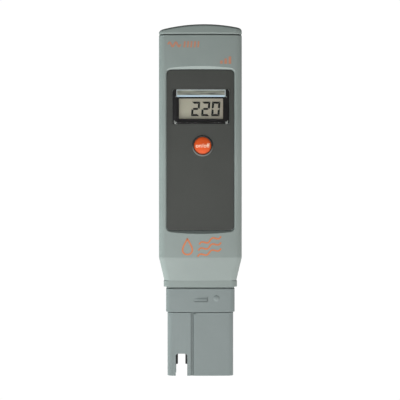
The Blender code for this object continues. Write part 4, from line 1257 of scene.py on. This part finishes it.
def dress_carried_nodes():
    for material, names in CARRIED.items():
        for name in names:
            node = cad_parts[name]
            node.data.materials.clear()
            node.data.materials.append(material)


# ---------------------------------------------------------------- studio


def softbox(name, location, target, size, radiance, colour, mirrored=True):
    """An area light of that radiance, which the camera itself doesn't see. If it isn't mirrored
    it shows in no reflection either."""
    light = bpy.data.lights.new(name, "AREA")
    light.shape = "RECTANGLE"
    light.size, light.size_y = size
    light.color = colour
    light.energy = radiance * math.pi * size[0] * size[1]
    obj = add_object(name, light)
    obj.location = location
    obj.visible_camera = False
    obj.visible_glossy = mirrored
    obj.rotation_euler = (Vector(target) - obj.location).to_track_quat("-Z", "Y").to_euler()
    return light


BACKDROP = 1.02  # how white the camera sees the floor and what is behind it


def camera_sees(tree, elsewhere, seen):
    """One shader for what the camera sees directly, the other for everything else."""
    is_camera = add_node(tree, "LightPath").outputs["Is Camera Ray"]
    inputs = {0: is_camera, 1: elsewhere.outputs[0], 2: seen.outputs[0]}
    return add_node(tree, "MixShader", inputs).outputs[0]


GLOW_CENTRE = (-0.06, -0.17, 0.0)
GLOW_STRENGTHS = (2.2, 0.90)  # at the centre and far from it
GLOW_REACH = (0.05, 0.32)


def make_floor():
    """A plain pale floor that glows like a light table, most of all just left of and before the
    object; the camera itself sees it evenly white."""
    half = 2.0
    bm = bmesh.new()
    bm.faces.new([bm.verts.new((x * half, y * half, -0.0001)) for x, y in SQUARE])
    floor = new_object("floor", bm)
    material, tree, shader = new_material("floor_paper")
    tint = mix(tree, noise(tree, 3, 2), (0.86, 0.86, 0.86), (0.90, 0.90, 0.90))
    inputs = {0: own_metres(tree), 1: GLOW_CENTRE}
    distance = add_node(tree, "VectorMath", inputs, operation="DISTANCE").outputs["Value"]
    glow = spread(tree, distance, *GLOW_STRENGTHS, *GLOW_REACH)
    set_inputs(tree, shader, Base_Color=tint, Roughness=0.9)
    set_inputs(tree, shader, Emission_Color=(1, 1, 1, 1), Emission_Strength=glow)
    white = add_node(tree, "Emission", {"Strength": BACKDROP})
    seen = camera_sees(tree, shader, white)
    tree.links.new(seen, tree.nodes["Material Output"].inputs["Surface"])
    floor.data.materials.append(material)


LEFT_AMBIENT = 0.22  # falls to nothing on the right
REAR_AMBIENT = 0.16  # falls to nothing in front


def make_world():
    """White behind the object; what lights it from all round is a dimmer grey."""
    world = bpy.data.worlds.new("studio")
    bpy.context.scene.world = world
    world.use_nodes = True
    tree = world.node_tree
    tree.nodes.clear()
    direction = add_node(tree, "TexCoord").outputs["Generated"]
    axes = split(tree, direction)
    sideways = spread(tree, axes["X"], LEFT_AMBIENT, 0.0, -1.0, 1.0)
    behind = spread(tree, axes["Y"], 0.0, REAR_AMBIENT, -1.0, 1.0)
    total = calculate(tree, "ADD", sideways, behind)
    ambient = add_node(tree, "Background", {"Color": (0.95, 0.98, 1, 1), "Strength": total})
    white = add_node(tree, "Background", {"Color": (1, 1, 1, 1), "Strength": BACKDROP})
    surface = camera_sees(tree, ambient, white)
    add_node(tree, "OutputWorld", {"Surface": surface})


CAMERA_DISTANCE = 0.600
SILHOUETTE_Y = -0.007  # depth of the edges that make the outline
FRAME_WIDTH = 0.19870  # what the square frame spans at that depth
CAMERA_AIM = (-0.00018, 0.08747)


def make_camera():
    data = bpy.data.cameras.new("camera")
    data.sensor_width = 36
    data.lens = data.sensor_width * CAMERA_DISTANCE / FRAME_WIDTH
    data.clip_start = 0.01
    camera = add_object("camera", data)
    camera.location = (CAMERA_AIM[0], SILHOUETTE_Y - CAMERA_DISTANCE, CAMERA_AIM[1])
    camera.rotation_euler = (math.pi / 2, 0, 0)
    bpy.context.scene.camera = camera


WAIST = (0, 0, 0.09)  # what the lights at the sides and behind are aimed at
GREENISH, COOL, WARM, WHITE = (0.98, 1.0, 0.99), (0.84, 1.0, 1.0), (1.0, 0.92, 0.78), (1, 1, 1)


def make_lights():
    softbox("low_front", (-0.05, -0.17, 0.012), (0, 0, 0.10), (0.16, 0.02), 3.0, GREENISH)
    softbox("left_strip", (-0.36, -0.05, 0.06), WAIST, (0.20, 0.20), 5.2, COOL, mirrored=False)
    softbox("right_fill", (0.36, -0.12, 0.06), WAIST, (0.20, 0.20), 0.9, WARM, mirrored=False)
    softbox("behind", (0.15, 0.60, 0.12), WAIST, (0.5, 0.2), 0.4, WHITE)
    place, target = (-0.005, -0.058, 0.010), (0, -0.020, 0.16)
    uplight = softbox("uplight", place, target, (0.05, 0.012), 2.6, WHITE, mirrored=False)
    uplight.spread = math.radians(50)


# ---- head radius and height, shank radius, and the cross's half length, half width and depth
SCREW_KINDS = {
    "case_screw": (0.00175, 0.0010, 0.0009, (0.0011, 0.00022, 0.0007)),
    "board_screw": (0.0015, 0.0009, 0.0007, (0.0009, 0.00018, 0.0006)),
}

make_front_shell()
make_rear_shell()
for prefix, sizes in SCREW_KINDS.items():
    make_screws(prefix, *sizes)
make_battery_cap()
make_panel()
make_window()
make_display()
make_button()
make_marks()
make_collar()
make_shroud()
make_electrodes()
dress_carried_nodes()
make_floor()
make_world()
make_lights()
make_camera()
bpy.context.scene.view_settings.view_transform = "Standard"
